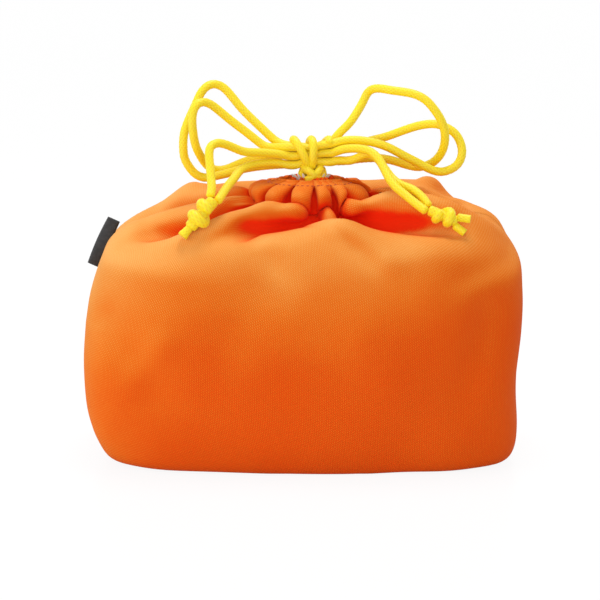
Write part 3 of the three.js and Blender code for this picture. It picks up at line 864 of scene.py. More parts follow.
def cut_and_drawn():
    """The top of the bag as it was cut, an open tube, and as the drawstrings hold it, in petals."""
    rows = levels_in_rows(TOP_LEVELS, TOP_ROWS)
    share = np.arange(TOP_ROWS) / (TOP_ROWS - 1)
    wall = even_angles(COLUMNS, TOP_LEVELS[0][1:])
    phase = 2 * math.pi * np.arange(COLUMNS) / COLUMNS
    drawn = np.zeros((TOP_ROWS, COLUMNS, 3))
    for r in range(TOP_ROWS):
        angle = wall + (phase - wall) * smoothstep(*TURNING, share[r])
        drawn[r, :, 0], drawn[r, :, 1] = outline(angle, *rows[r, 1:])
        drawn[r, :, 2] = rows[r, 0]
    climb = np.linalg.norm(np.diff(drawn, axis=0), axis=2)
    kernel = np.ones(CLIMB_BLUR) / CLIMB_BLUR
    half = CLIMB_BLUR // 2
    climb = np.array([np.convolve(np.concatenate([c[-half:], c, c[:half]]), kernel, "valid") for c in climb])
    ease = sum(
        extra * smoothstep(low, high, np.cos(wall - math.radians(way))) for way, low, high, extra in EASE)
    climb = climb * (1 + PLAIN_EASE * smoothstep(*PLAIN_EASE_RISE, share)[1:, None])
    climb = climb * (1 + ease * smoothstep(*EASE_RISE, share)[1:, None])
    girth = np.linalg.norm(np.roll(drawn, -1, 1) - drawn, axis=2).sum(1)
    girth = girth / girth[0]
    crown = int(CROWN_START * TOP_ROWS)
    girth[crown:] = girth[crown]
    girth = girth * (1 - RIM_TAPER * smoothstep(*TAPER_RISE, share))
    cut = np.zeros_like(drawn)
    cut[..., 0] = drawn[0, :, 0] * girth[:, None]
    cut[..., 1] = drawn[0, :, 1] * girth[:, None]
    cut[..., 2] = rows[0, 0] + np.vstack([np.zeros(COLUMNS), np.cumsum(climb, axis=0)])
    widths = np.array([width for width, depth in PETALS], float)
    depths = np.array([depth for width, depth in PETALS])
    starts = np.radians(180 + np.concatenate([[0], np.cumsum(widths)]))
    cloth = widths * PETAL_WIDTH_CLOTH + PETAL_DEPTH_CLOTH * depths
    spans = np.concatenate([[0], np.cumsum(cloth)]) / cloth.sum()
    at = ((np.arange(COLUMNS) / COLUMNS) - 0.5) % 1.0
    petal = np.clip(np.searchsorted(spans, at, side="right") - 1, 0, len(PETALS) - 1)
    along = (at - spans[petal]) / (spans[petal + 1] - spans[petal])
    turned = along - PETAL_PINCH * np.sin(2 * math.pi * along)
    angle = starts[petal] + np.radians(widths)[petal] * turned
    bulge = depths[petal] * (np.sin(math.pi * along) ** PETAL_ROUNDNESS - PETAL_INSET)
    for r in range(TOP_ROWS - COLLAR_ROWS, TOP_ROWS):
        up = (r - (TOP_ROWS - COLLAR_ROWS)) / (COLLAR_ROWS - 1)
        middle = (rows[r, 2] - rows[r, 1]) / 2
        out = bulge * (PETAL_SPREAD - PETAL_CLOSING * up)
        drawn[r, :, 0] = middle + ((rows[r, 2] + rows[r, 1]) / 2 + out) * np.cos(angle)
        drawn[r, :, 1] = (rows[r, 3] + out) * np.sin(angle)
        drawn[r, :, 2] = rows[r, 0] + (1 - up) * PETAL_LIFT * np.maximum(bulge, 0)
    return cut, drawn, share


def lengths(vectors):
    return np.sqrt(vectors[..., 0] ** 2 + vectors[..., 1] ** 2 + vectors[..., 2] ** 2)


def pull(first, second, free_first, free_second, span, push_share, pull_share):
    """How far two rows of points move along the line between them to be the right span apart."""
    line = second - first
    length = np.maximum(lengths(line), 1e-9)
    stretch = length - span
    share = np.where(stretch > 0, pull_share, push_share)
    amount = share * stretch / (length * np.maximum(free_first + free_second, 1e-9))
    return line * (amount * free_first)[..., None], line * (amount * free_second)[..., None]


def pull_round(cloth, free, gap, span, push_share, pull_share):
    """Threads that run round the bag, from each column to the one so many columns on."""
    for start in range(2 * gap):
        here = np.arange(start, COLUMNS, 2 * gap)
        there = (here + gap) % COLUMNS
        ahead, back = pull(
            cloth[:, here], cloth[:, there], free[:, here], free[:, there], span[:, here],
            push_share, pull_share)
        cloth[:, here] += ahead
        cloth[:, there] -= back


def pull_up(cloth, free, gap, span, push_share, pull_share):
    """Threads that run up the bag, from each row to the one so many rows above."""
    for start in range(2 * gap):
        here = np.arange(start, TOP_ROWS - gap, 2 * gap)
        there = here + gap
        ahead, back = pull(
            cloth[here], cloth[there], free[here], free[there], span[here], push_share, pull_share)
        cloth[here] += ahead
        cloth[there] -= back


def pull_slant(cloth, free, rising, falling, amount):
    """Slanting threads, which keep the weave square."""
    aside = np.roll(np.arange(COLUMNS), -1)
    for start in range(2):
        here = np.arange(start, TOP_ROWS - 1, 2)
        there = here + 1
        low = cloth[here]
        high = cloth[there]
        ahead, back = pull(
            low, high[:, aside], free[here], free[there][:, aside], rising[here], amount, amount)
        low = low + ahead
        high[:, aside] -= back
        ahead, back = pull(
            low[:, aside], high, free[here][:, aside], free[there], falling[here], amount, amount)
        low[:, aside] += ahead
        cloth[here] = low
        cloth[there] = high - back


def touching_pairs(points, rows, columns, reach):
    """Pairs of points of the folded cloth that lie close together without being neighbours in the weave."""
    order = np.argsort(points[:, 0], kind="stable")
    sorted_points = points[order]
    count = len(points)
    end = np.searchsorted(sorted_points[:, 0], sorted_points[:, 0] + reach, side="right")
    first = []
    second = []
    for gap in range(1, int((end - np.arange(count)).max()) + 1):
        here = np.arange(count - gap)[end[:-gap] > np.arange(count - gap) + gap]
        line = np.abs(sorted_points[here + gap] - sorted_points[here])
        here = here[(line[:, 1] < reach) & (line[:, 2] < reach)]
        first.append(order[here])
        second.append(order[here + gap])
    first = np.concatenate(first)
    second = np.concatenate(second)
    apart = np.abs(columns[first] - columns[second])
    apart = np.minimum(apart, COLUMNS - apart)
    kept = (np.abs(rows[first] - rows[second]) > 1) | (apart > 2)
    return first[kept], second[kept]


def keep_apart(points, free, pairs):
    """Folds that touch are pushed apart by the cloth's thickness."""
    first, second = pairs
    count = len(points)
    line = points[second] - points[first]
    length = np.maximum(lengths(line), 1e-6)
    overlap = np.minimum(length - CLOTH_THICKNESS, 0)
    amount = 0.5 * overlap / (length * np.maximum(free[first] + free[second], 1e-9))
    ahead = line * (amount * free[first])[:, None]
    back = line * (amount * free[second])[:, None]
    touches = np.bincount(first, overlap < 0, count) + np.bincount(second, overlap < 0, count)
    for k in range(3):
        move = np.bincount(first, ahead[:, k], count) - np.bincount(second, back[:, k], count)
        points[:, k] += move / np.sqrt(np.maximum(touches, 1))


def lie_on_filling(cloth, free):
    """Cloth that has sunk into the filling is lifted back onto it."""
    long = (np.abs(cloth[..., 0] - FILLING_MIDDLE) / FILLING_HALF_LENGTH) ** FILLING_SQUARENESS
    inside = long + (np.abs(cloth[..., 1]) / FILLING_HALF_DEPTH) ** FILLING_SQUARENESS
    dome = np.sqrt(1 - np.minimum(inside, 1) ** 2)
    floor = FILLING_SHOULDER + (FILLING_TOP - FILLING_SHOULDER) * dome
    lift = np.where(inside < 1, np.maximum(floor - cloth[..., 2], 0), 0) * free
    cloth[..., 2] += np.minimum(lift, FILLING_LIFT)


def draw_in(cut, drawn, share):
    """Cloth simulation on the weave's own grid, from the cut tube to the drawn collar."""
    held = np.zeros(TOP_ROWS, bool)
    held[:HELD_ROWS] = True
    held[-HELD_ROWS:] = True
    free = np.where(held, 0.0, 1.0)[:, None] * np.ones(COLUMNS)
    cloth = cut + np.random.default_rng(CLOTH_SEED).normal(0, START_JITTER, cut.shape)
    cloth[held] = cut[held]
    hold = (1 - smoothstep(*WALL_LOOSENS, share) * WALL_LOOSENING) * (1 - smoothstep(*WALL_ENDS, share))
    collar = np.arange(TOP_ROWS) - (TOP_ROWS - COLLAR_ROWS)
    collar_hold = COLLAR_HOLD * (COLLAR_HOLD_START + (1 - COLLAR_HOLD_START) * collar / COLLAR_ROWS)
    hold = np.maximum(hold, np.where(collar >= 0, collar_hold, 0))
    aside = np.roll(cut, -1, 1)
    span_round = lengths(aside - cut)
    span_up = lengths(cut[1:] - cut[:-1])
    rising = lengths(aside[1:] - cut[:-1])
    falling = lengths(cut[1:] - aside[:-1])
    round_2 = span_round + np.roll(span_round, -1, 1)
    round_4 = round_2 + np.roll(round_2, -2, 1)
    up_2 = span_up[1:] + span_up[:-1]
    up_4 = up_2[2:] + up_2[:-2]
    low = int(FOLDING_START * TOP_ROWS)
    rows, columns = np.meshgrid(np.arange(low, TOP_ROWS), np.arange(COLUMNS), indexing="ij")
    rows = rows.ravel()
    columns = columns.ravel()
    top_free = free[low:].ravel()
    before = cloth.copy()
    for step in range(1, CLOTH_STEPS + 1):
        drawn_share = smoothstep(0, DRAWN_STEP, step)
        target = cut + (drawn - cut) * drawn_share
        speed = (cloth - before) * CLOTH_DRAG
        before = cloth.copy()
        force = grid_normals(cloth) * CLOTH_PRESS
        force[..., 2] -= CLOTH_WEIGHT
        cloth = cloth + (speed + force) * free[..., None]
        cloth[held] = target[held]
        if step % PAIR_STEPS == 1:
            pairs = touching_pairs(cloth[low:].reshape(-1, 3), rows, columns, CLOTH_THICKNESS * TOUCH_REACH)
        for turn in range(CLOTH_PASSES):
            pull_round(cloth, free, 1, span_round, CRUSH, 1.0)
            pull_up(cloth, free, 1, span_up, CRUSH, 1.0)
            pull_slant(cloth, free, rising, falling, SKEW)
            pull_round(cloth, free, 2, round_2, STIFF_NEAR, 0.0)
            pull_up(cloth, free, 2, up_2, STIFF_NEAR, 0.0)
            if turn % FAR_PASSES == 0:
                pull_round(cloth, free, 4, round_4, STIFF_FAR, 0.0)
                pull_up(cloth, free, 4, up_4, STIFF_FAR, 0.0)
            cloth += (target - cloth) * (HOLD * hold[:, None] * free)[..., None]
            lie_on_filling(cloth, free)
            if turn % APART_PASSES == APART_PASSES - 1:
                points = cloth[low:].reshape(-1, 3).copy()
                keep_apart(points, top_free, pairs)
                cloth[low:] = points.reshape(-1, COLUMNS, 3)
            cloth[held] = target[held]
    return cloth


def finer(grid):
    """The grid with twice as many rows and columns on a smooth surface."""
    before = np.roll(grid, 1, 1)
    after = np.roll(grid, -1, 1)
    beyond = np.roll(grid, -2, 1)
    between = (9 * (grid + after) - before - beyond) / 16
    wide = np.zeros((grid.shape[0], grid.shape[1] * 2, 3))
    wide[:, 0::2] = grid
    wide[:, 1::2] = between
    padded = np.vstack([2 * wide[:1] - wide[1:2], wide, 2 * wide[-1:] - wide[-2:-1]])
    middle = (9 * (padded[1:-2] + padded[2:-1]) - padded[:-3] - padded[3:]) / 16
    tall = np.zeros((wide.shape[0] * 2 - 1, wide.shape[1], 3))
    tall[0::2] = wide
    tall[1::2] = middle
    return tall


def blurred(values, times):
    """Values on a closed grid, evened out with their neighbours."""
    values = values.copy()
    for _ in range(times):
        values = 0.5 * values + 0.25 * (np.roll(values, 1, 1) + np.roll(values, -1, 1))
        inner = 0.5 * values[1:-1] + 0.25 * (values[:-2] + values[2:])
        values = np.concatenate([values[:1], inner, values[-1:]])
    return values


# Painted shade and painted light of the cloth

# Reach of the field of heights that the folds' shade is read from
FIELD_REACH = 150

# Sky that a point sees past the folds: step between directions, distances looked at, room and spread
SKY_STEP = 20
SKY_DISTANCES = (2, 3, 4.5, 6.5, 9, 13, 18, 25)
SKY_ROOM = 0.5
SKY_SPREAD = 0.35

# Painted fold shade: where the collar and the gathered cloth begin and are full, and the sky and creases that
# make a fold shaded
COLLAR_FADE = (44, 26)
COLLAR_DEPTH_STRETCH = 1.3
BAG_HALVES = (103, 57)
BAG_ROUNDNESS = 3.5
GATHERED_HEIGHTS = (84, 104)
GATHERED_INSIDE = (0.60, 0.34)
FOLD_SKY = (0.95, 0.28)
CREASE_BLUR = 8
CREASE_DEPTH = 1.4

# Painted light, a paler colour on cloth that faces up, lies high or faces left, and what folds and collar
# take away from it
UPWARD = (-0.10, 0.80)
UPWARD_LIGHT = 0.42
HEIGHTS = (35, 105)
HEIGHT_LIGHT = 0.34
LEFTWARD = (-0.5, 1)
LEFTWARD_LIGHT = 0.36
FOLD_DIMMING = 0.7
COLLAR_DIMMING = 0.45


def height_field(grid):
    """The highest point of the cloth over each square millimetre of the ground."""
    field = np.zeros((FIELD_REACH * 2, FIELD_REACH * 2))
    aside = np.roll(grid, -1, 1)
    for up in (0, 1 / 3, 2 / 3):
        for over in (0, 1 / 3, 2 / 3):
            row = grid * (1 - over) + aside * over
            points = (row[:-1] * (1 - up) + row[1:] * up).reshape(-1, 3)
            cells = np.round(points[:, :2]).astype(int) + FIELD_REACH
            np.maximum.at(field, (cells[:, 0], cells[:, 1]), points[:, 2])
    return field


def sky_shares(grid, field):
    """How much of the sky each point of the cloth sees past the folds around it, from 0 to 1."""
    normal = grid_normals(grid)
    seen = np.zeros(grid.shape[:2])
    weights = np.zeros(grid.shape[:2])
    for degrees in range(0, 360, SKY_STEP):
        way = np.array((math.cos(math.radians(degrees)), math.sin(math.radians(degrees))))
        steepest = np.zeros(grid.shape[:2])
        for distance in SKY_DISTANCES:
            cells = np.round(grid[..., :2] + way * distance).astype(int) + FIELD_REACH
            slope = (field[cells[..., 0], cells[..., 1]] - grid[..., 2] - SKY_ROOM) / distance
            steepest = np.maximum(steepest, slope)
        weight = np.clip(SKY_SPREAD + normal[..., 0] * way[0] + normal[..., 1] * way[1], 0.02, 1)
        seen += weight * (1 - steepest / np.sqrt(1 + steepest ** 2))
        weights += weight
    return blurred((seen / weights)[..., None], 1)[..., 0]


def cloth_shades(grid, field):
    """For each point of the cloth, its painted fold shade, from how deep it lies in a fold, and its painted
    light on the nap.
    """
    sky = sky_shares(grid, field)
    normal = grid_normals(grid)
    outward = (grid - np.array((MOUTH_OFFSET, 0, 0))) * (1, COLLAR_DEPTH_STRETCH, 0)
    collar = smoothstep(*COLLAR_FADE, lengths(outward))
    crease = np.sum((blurred(grid, CREASE_BLUR) - grid) * normal, axis=2)
    wide, deep = [(np.abs(grid[..., k]) / BAG_HALVES[k]) ** BAG_ROUNDNESS for k in (0, 1)]
    gathered = smoothstep(*GATHERED_HEIGHTS, grid[..., 2]) * smoothstep(*GATHERED_INSIDE, wide + deep)
    creased = np.clip(crease / CREASE_DEPTH, 0, 1) * collar
    fold = gathered * np.maximum(smoothstep(*FOLD_SKY, sky), creased)
    upward = smoothstep(*UPWARD, normal[..., 2]) * UPWARD_LIGHT
    high = smoothstep(*HEIGHTS, grid[..., 2]) * HEIGHT_LIGHT
    leftward = np.clip(-normal[..., 0], *LEFTWARD) * LEFTWARD_LIGHT
    # Painted light, paler where cloth faces up, lies high or faces left
    light = (upward + high + leftward) * (1 - FOLD_DIMMING * fold) * (1 - COLLAR_DIMMING * collar)
    return fold, np.clip(light, 0, 1)


# Cloth round the cords, the casing's seam and the label

# Cloth under the cords: room, how near a cord has to be, limit of the press, and its blur and spread
CORD_ROOM = 0.5
CORD_NEAR = 10
PRESS_LIMIT = 8
PRESS_BLUR = 3
PRESS_SPREAD = 1.2

# Casing's seam, its petals and the small pleats round it, with the waves that make their spacing uneven:
# size, count and shift
CASING_ROWS = 13
SEAM_PINCH = 2.4
SEAM_REACH = 2.4
PETAL_PUFF = 1.6
RIDGE_BLUR = 30
RIDGE_SHARE = 0.25
RIDGE_LIMIT = 2
RIPPLES = 22
RIPPLE_SPACING = ((2.0, 3, 0.5), (1.4, 5, 0.0))
RIPPLE_DEPTH = 1.5
RIPPLE_START = (15, 20)
RIPPLE_END = (44, 22)
RIPPLE_HEIGHTS = (100, 108)
COLLAR_STRETCH = 1.6
CASING_SLIT = 5


def clear_of_cords(grid, clearance):
    """Cloth pressed down where a cord lies on it."""
    points = np.vstack([path[::3] for path in CORD_PATHS.values()])
    normal = grid_normals(grid)
    push = np.zeros(grid.shape[:2])
    reach = CORD / 2 + clearance
    for point in points:
        away = grid - point
        near = np.einsum("rck,rck->rc", away, away) < CORD_NEAR ** 2
        if not near.any():
            continue
        height = np.einsum("nk,nk->n", away[near], normal[near])
        sideways = np.sqrt(np.maximum(np.einsum("nk,nk->n", away[near], away[near]) - height ** 2, 0))
        level = -np.sqrt(np.maximum(reach ** 2 - sideways ** 2, 0))
        need = np.where((sideways < reach) & (height > level), height - level, 0)
        push[near] = np.maximum(push[near], np.clip(need, 0, PRESS_LIMIT))
    spread = blurred(push[..., None], PRESS_BLUR)[..., 0]
    return grid - normal * np.maximum(push, spread * PRESS_SPREAD)[..., None]


def gathered_seam(grid):
    """The casing's seam pinched in at the foot of the petals, and the petals puffed out above it."""
    foot = grid.shape[0] - CASING_ROWS
    row = np.arange(grid.shape[0]) - foot
    pinch = -SEAM_PINCH * np.exp(-(row / SEAM_REACH) ** 2)
    puff = np.where(row > 0, PETAL_PUFF * np.sin(math.pi * np.clip(row / (CASING_ROWS - 1), 0, 1)), 0)
    outward = (grid - np.array((MOUTH_OFFSET, 0, 0))) * (1, 1, 0)
    reach = lengths(outward)
    ridge = reach - blurred(reach[..., None], RIDGE_BLUR)[..., 0]
    out = (pinch + puff)[:, None] * (1 + RIDGE_SHARE * np.clip(ridge, -RIDGE_LIMIT, RIDGE_LIMIT))
    return grid + outward / np.maximum(reach, 1)[..., None] * out[..., None]


# Label: its place in the left side seam, its directions, and the room that the seam leaves it to lie over
LABEL_ROOT = np.array((-90.9, 0.0, 99.0))
LABEL_UP = np.array((0.4153, 0.0, 0.9097))
LABEL_OUT = np.array((-0.9097, 0.0, 0.4153))
LABEL_WIDTH = 24.0
LABEL_PLY = 0.3
LABEL_STEPS = 25
LABEL_SLOPE = 0.58
LABEL_ROOM = 0.4
LABEL_FLAT = 1.3
LABEL_BEYOND = (6, 1)
LABEL_ASIDE = (14, 8)
LABEL_INWARD = 20

# One ply of the folded label, out from the seam and aside, and the tip of the fold
LABEL_SECTION = [
    (0.4, 0.2), (0.8, 0.4), (1.6, 0.52), (2.8, 0.56), (4.0, 0.56), (5.2, 0.5), (6.0, 0.38), (6.5, 0.2),
]
LABEL_TIP = (6.68, 0.0)

# Label's sway aside, with its turn and shift, and its bow outwards at its full reach
LABEL_SWAY = 0.5
LABEL_SWAY_WAVE = (5.2, 0.6)
LABEL_BOW = 0.5
LABEL_BOW_LEVEL = 0.35
LABEL_REACH = 6


def clear_of_label(grid):
    """The side seam drawn in at the label, so that the label can lie over to either side."""
    away = grid - LABEL_ROOT
    aside = np.abs(away[..., 1])
    limit = LABEL_SLOPE * np.maximum(aside - LABEL_FLAT, 0) - LABEL_ROOM
    beyond = [LABEL_WIDTH / 2 + room for room in LABEL_BEYOND]
    beside = smoothstep(*beyond, np.abs(away @ LABEL_UP))
    beside = beside * smoothstep(*LABEL_ASIDE, aside) * (away[..., 0] < LABEL_INWARD)
    need = np.clip(away @ LABEL_OUT - limit, 0, PRESS_LIMIT) * beside
    return grid - LABEL_OUT * need[..., None]


def gather_ripples(grid):
    """Small pleats that run out from the casing's seam and die away over the crown."""
    away = (grid - np.array((MOUTH_OFFSET, 0, 0))) / np.array((COLLAR_STRETCH, 1.0, 1.0))
    reach = np.hypot(away[..., 0], away[..., 1])
    angle = np.arctan2(away[..., 1], away[..., 0])
    turned = RIPPLES * angle
    for drift, count, shift in RIPPLE_SPACING:
        turned = turned + drift * np.sin(count * angle + shift)
    wave = np.sin(turned)
    size = RIPPLE_DEPTH * smoothstep(*RIPPLE_START, reach) * smoothstep(*RIPPLE_END, reach)
    size = size * smoothstep(*RIPPLE_HEIGHTS, grid[..., 2])
    size[-CASING_ROWS:] = 0
    return grid + grid_normals(grid) * (wave * size)[..., None]


# Soft hollows and swellings of the filled cloth: place, reach and depth in millimetres
DENTS = [
    ((-78, -52, 34), 26, -2.6),
    ((72, -54, 40), 24, -2.8),
    ((100, -20, 40), 18, -2.4),
    ((-20, -58, 60), 46, 1.4),
    ((40, -57, 74), 30, 1.4),
    ((-99, 12, 64), 26, -1.8),
    ((60, 56, 50), 34, -1.8),
    ((-50, 57, 40), 36, 1.4),
    ((-45, -55, 22), 24, -1.6),
    ((15, -55, 22), 28, 1.0),
    ((-88, -46, 72), 18, -1.6),
    ((88, -48, 68), 16, -1.8),
    ((-60, -52, 84), 20, 1.6),
    ((64, -50, 92), 16, 1.4),
    ((48, -54, 14), 16, -1.4),
    ((-84, -44, 12), 14, -1.6),
    ((86, -46, 12), 14, -1.8),
]

# Soft creases of the front: their two ends across and up, width and depth in millimetres
CREASES = [
    ((-25, 112), (4, 84), 7, -2.8),
    ((10, 118), (44, 88), 4, -1.5),
    ((17, 118), (52, 90), 4, 1.0),
    ((40, 100), (82, 107), 6, 1.5),
    ((97, 99), (52, 86), 7, -2.0),
    ((-93, 97), (-30, 90), 7, 1.6),
    ((-82, 106), (-40, 108), 6, -1.6),
    ((-90, 72), (-52, 20), 10, -2.2),
    ((86, 76), (68, 16), 9, -2.2),
    ((-20, 86), (-52, 30), 13, -1.4),
    ((-64, 62), (-92, 24), 7, 1.4),
    ((28, 64), (54, 24), 12, 1.1),
]
CREASE_FADE = (1.0, 0.35)
FRONT_FACING = (0.2, 0.7)

# Base: shares of the way in from its edge, how far its middle is lifted and how far it narrows
BASE_ROWS = (1.0, 0.8, 0.6, 0.4, 0.22, 0.08)
BASE_LIFT = 0.5
BASE_NARROWING = 0.03


def soft_creases(grid):
    normal = grid_normals(grid)
    front = smoothstep(*FRONT_FACING, -normal[..., 1] + 0.5 * normal[..., 2])
    amount = np.zeros(grid.shape[:2])
    for start, end, width, depth in CREASES:
        start = np.array(start, float)
        line = np.array(end, float) - start
        away = grid[..., (0, 2)] - start
        along = np.clip(away @ line / (line @ line), 0, 1)
        distance = np.linalg.norm(away - along[..., None] * line, axis=2)
        fade = smoothstep(*CREASE_FADE, along)
        amount += depth * fade * np.exp(-(distance / width) ** 2)
    amount = np.where(grid[..., 1] < 0, amount * front, 0)
    return grid + normal * amount[..., None]


def soft_dents(grid):
    normal = grid_normals(grid)
    amount = np.zeros(grid.shape[:2])
    for place, reach, depth in DENTS:
        distance = np.linalg.norm(grid - np.array(place, float), axis=2)
        amount += depth * np.exp(-(distance / reach) ** 2)
    return grid + normal * amount[..., None]


def bag_grid():
    """The whole outer cloth as one closed ring of columns, from the middle of the base up to the neck."""
    top = draw_in(*cut_and_drawn())
    angle = even_angles(COLUMNS, TOP_LEVELS[0][1:])
    rows = []
    edge_x, edge_y = outline(angle, *BODY_LEVELS[0][1:])
    for inward in BASE_ROWS:
        lifted = BASE_LIFT * smoothstep(0.0, 0.5, inward)
        x = edge_x * (1 - BASE_NARROWING * inward)
        rows.append(np.stack([x, edge_y * (1 - inward), np.full(COLUMNS, lifted)], 1))
    for level in levels_in_rows(BODY_LEVELS, BODY_ROWS)[:-1]:
        x, y = outline(angle, *level[1:])
        rows.append(np.stack([x, y, np.full(COLUMNS, level[0])], 1))
    grid = np.concatenate([np.array(rows), top])
    grid = finer(soft_dents(grid))
    grid = gather_ripples(gathered_seam(soft_creases(grid)))
    grid = clear_of_label(clear_of_cords(grid, CORD_ROOM))
    grid[..., 2] = np.maximum(grid[..., 2], 0)
    return grid


# Thickness of the finished cloths
PANEL_CLOTH = 1.0
CASING_CLOTH = 1.2
LINING_CLOTH = 0.5


def cloth_piece(name, grid, columns, material, thickness, grain, shades):
    """A sheet made from some columns of a ring grid, with its grain in metres and a real thickness."""
    rows = grid.shape[0]
    part = grid[:, columns]
    count = len(columns)
    piece = mesh_piece(name, part.reshape(-1, 3) * MM, grid_faces(rows, count), material)
    # The painted fold shade and painted light go onto the piece as attributes
    for attribute_name, values in zip(("painted_fold_shade", "painted_light"), shades):
        point_attribute(piece, attribute_name, values[:, columns])
    across = np.tile(grain * np.arange(count), (rows, 1))
    climb = np.linalg.norm(np.diff(part, axis=0), axis=2).mean(1)
    along = np.tile(np.concatenate([[0], np.cumsum(climb)])[:, None] * MM, (1, count))
    set_grain(piece, np.stack([across.ravel(), along.ravel()], 1))
    thicken(piece, thickness, -1)
    return piece


# Casing: the top of the same gathered cloth, doubled, with its hem turned in at the rim

# How far the casing stands out from the panels, and its hem, inward and upward from the rim
CASING_PROUD = 0.45
HEM = ((0.35, 0.6), (0.9, 0.85), (1.5, 0.6), (1.9, -0.2), (2.1, -1.6))


def casing_grid(grid):
    band = grid[-CASING_ROWS:]
    proud = CASING_PROUD * smoothstep(0, 1, np.arange(CASING_ROWS))[:, None, None]
    band = band + grid_normals(band) * proud
    rim = band[-1]
    inward = unit((rim - np.array((MOUTH_OFFSET, 0, 0))) * (1, 1, 0))
    turned = [rim - inward * step + np.array((0, 0, lift)) for step, lift in HEM]
    return np.concatenate([band, np.array(turned)])


# Lining: levels like the bag's, and the pleated neck that shows in the mouth

LINING_LEVELS = [
    (2.2, 80, 87, 41, 4.2),
    (6.0, 88, 93, 45.5, 4.2),
    (28, 95, 95.5, 49, 4.0),
    (50, 96, 96.5, 50.5, 3.9),
    (70, 92, 95, 49, 3.7),
    (84, 84, 90, 43, 3.5),
    (90, 72, 78, 36, 3.1),
    (92.5, 54, 60, 27, 2.7),
    (93.5, 34, 42, 19, 2.3),
    (100, 15, 23, 11, 2.0),
    (118, 1.8, 9.8, 3.4, 2.0),
]
LINING_ROWS = 40
LINING_COLUMNS = 220
LINING_GIRTH = 0.52
LINING_PLEATS = 22
NECK_ROWS = 8
NECK_START = 0.15

# Lining: shares of its depth in the rows of its base, shares of the way up between which its columns turn to
# stand evenly, and the uneven spacing of its pleats: size, count and shift
LINING_BASE = (0.0, 0.3, 0.6, 0.85)
LINING_TURNS = (0.4, 1.0)
PLEAT_SPACING = (1.1, 2, 0.6)

# Neck of the lining: half width and half depth, each with its flare and its pleats, and height with its fall
# towards the back and its pleats
NECK_WIDTH = (5.6, 2.8, 1.0)
NECK_DEPTH = (3.2, 3.2, 0.8)
NECK_HEIGHT = (13.6, 1.2, 1.1)


def lining_grid():
    phase = 2 * math.pi * np.arange(LINING_COLUMNS) / LINING_COLUMNS
    angle = even_angles(LINING_COLUMNS, TOP_LEVELS[0][1:])
    levels = levels_in_rows(LINING_LEVELS, LINING_ROWS)
    rows = []
    for share, level in zip(np.linspace(0, 1, LINING_ROWS), levels):
        turned = angle + (phase - angle) * smoothstep(*LINING_TURNS, share)
        x, y = outline(turned, *level[1:])
        rows.append(np.stack([x, y, np.full(LINING_COLUMNS, level[0])], 1))
    x, y, z = rows[0].T
    base = [np.stack([x, y * share, z], 1) for share in LINING_BASE]
    drift, count, shift = PLEAT_SPACING
    wave = np.cos(LINING_PLEATS * phase + drift * np.sin(count * phase + shift))
    neck = []
    for up in np.linspace(NECK_START, 1, NECK_ROWS):
        wide, deep = [
            reach + flare * up ** 3 + pleat * up * wave for reach, flare, pleat in (NECK_WIDTH, NECK_DEPTH)]
        tall, fall, rise = NECK_HEIGHT
        z = LINING_LEVELS[-1][0] + (tall - fall * np.sin(phase) + rise * wave) * up
        neck.append(np.stack([MOUTH_OFFSET + wide * np.cos(phase), deep * np.sin(phase), z + 0 * phase], 1))
    return np.concatenate([np.array(base), np.array(rows), np.array(neck)])


# Label: a black ribbon folded in two and sewn into the left side seam

def label_piece():
    other_ply = [(out, -side) for out, side in LABEL_SECTION[::-1]]
    section = np.array(LABEL_SECTION + [LABEL_TIP] + other_ply)
    run = run_along(section)
    vertices = []
    grain = []
    turn, shift = LABEL_SWAY_WAVE
    for s in np.linspace(-0.5, 0.5, LABEL_STEPS):
        sway = LABEL_SWAY * math.sin(turn * s + shift) * section[:, 0] / LABEL_REACH
        bow = LABEL_BOW * math.cos(math.pi * s) - LABEL_BOW_LEVEL
        for (out, side), move, along in zip(section, sway, run):
            place = LABEL_ROOT + LABEL_UP * (s * LABEL_WIDTH) + LABEL_OUT * (out + bow * out / LABEL_REACH)
            vertices.append(place + np.array((0, side + move, 0)))
            grain.append((s * LABEL_WIDTH * MM, along * MM))
    faces = [(a, d, c, b) for a, b, c, d in grid_faces(LABEL_STEPS, len(section))]
    piece = mesh_piece("label_ribbon", np.array(vertices) * MM, faces, BLACK_RIBBON)
    set_grain(piece, grain)
    thicken(piece, LABEL_PLY, 0)
    return piece


# Stitches: short threads along a line, by Geometry Nodes

# Pitch, length and thread radius in millimetres
CASING_STITCH = (2.4, 1.6, 0.2)
LABEL_STITCH = (2.4, 1.7, 0.16)

# Casing's stitches: their row, counted down from the rim, and how far they stand out from the cloth
STITCH_DROP = 3
STITCH_PROUD = 0.15

# Label's stitches: out from its root, aside, and to both ends
LABEL_STITCH_OUT = 1.5
LABEL_STITCH_ASIDE = np.array((0, -0.85, 0))
LABEL_STITCH_REACH = 11


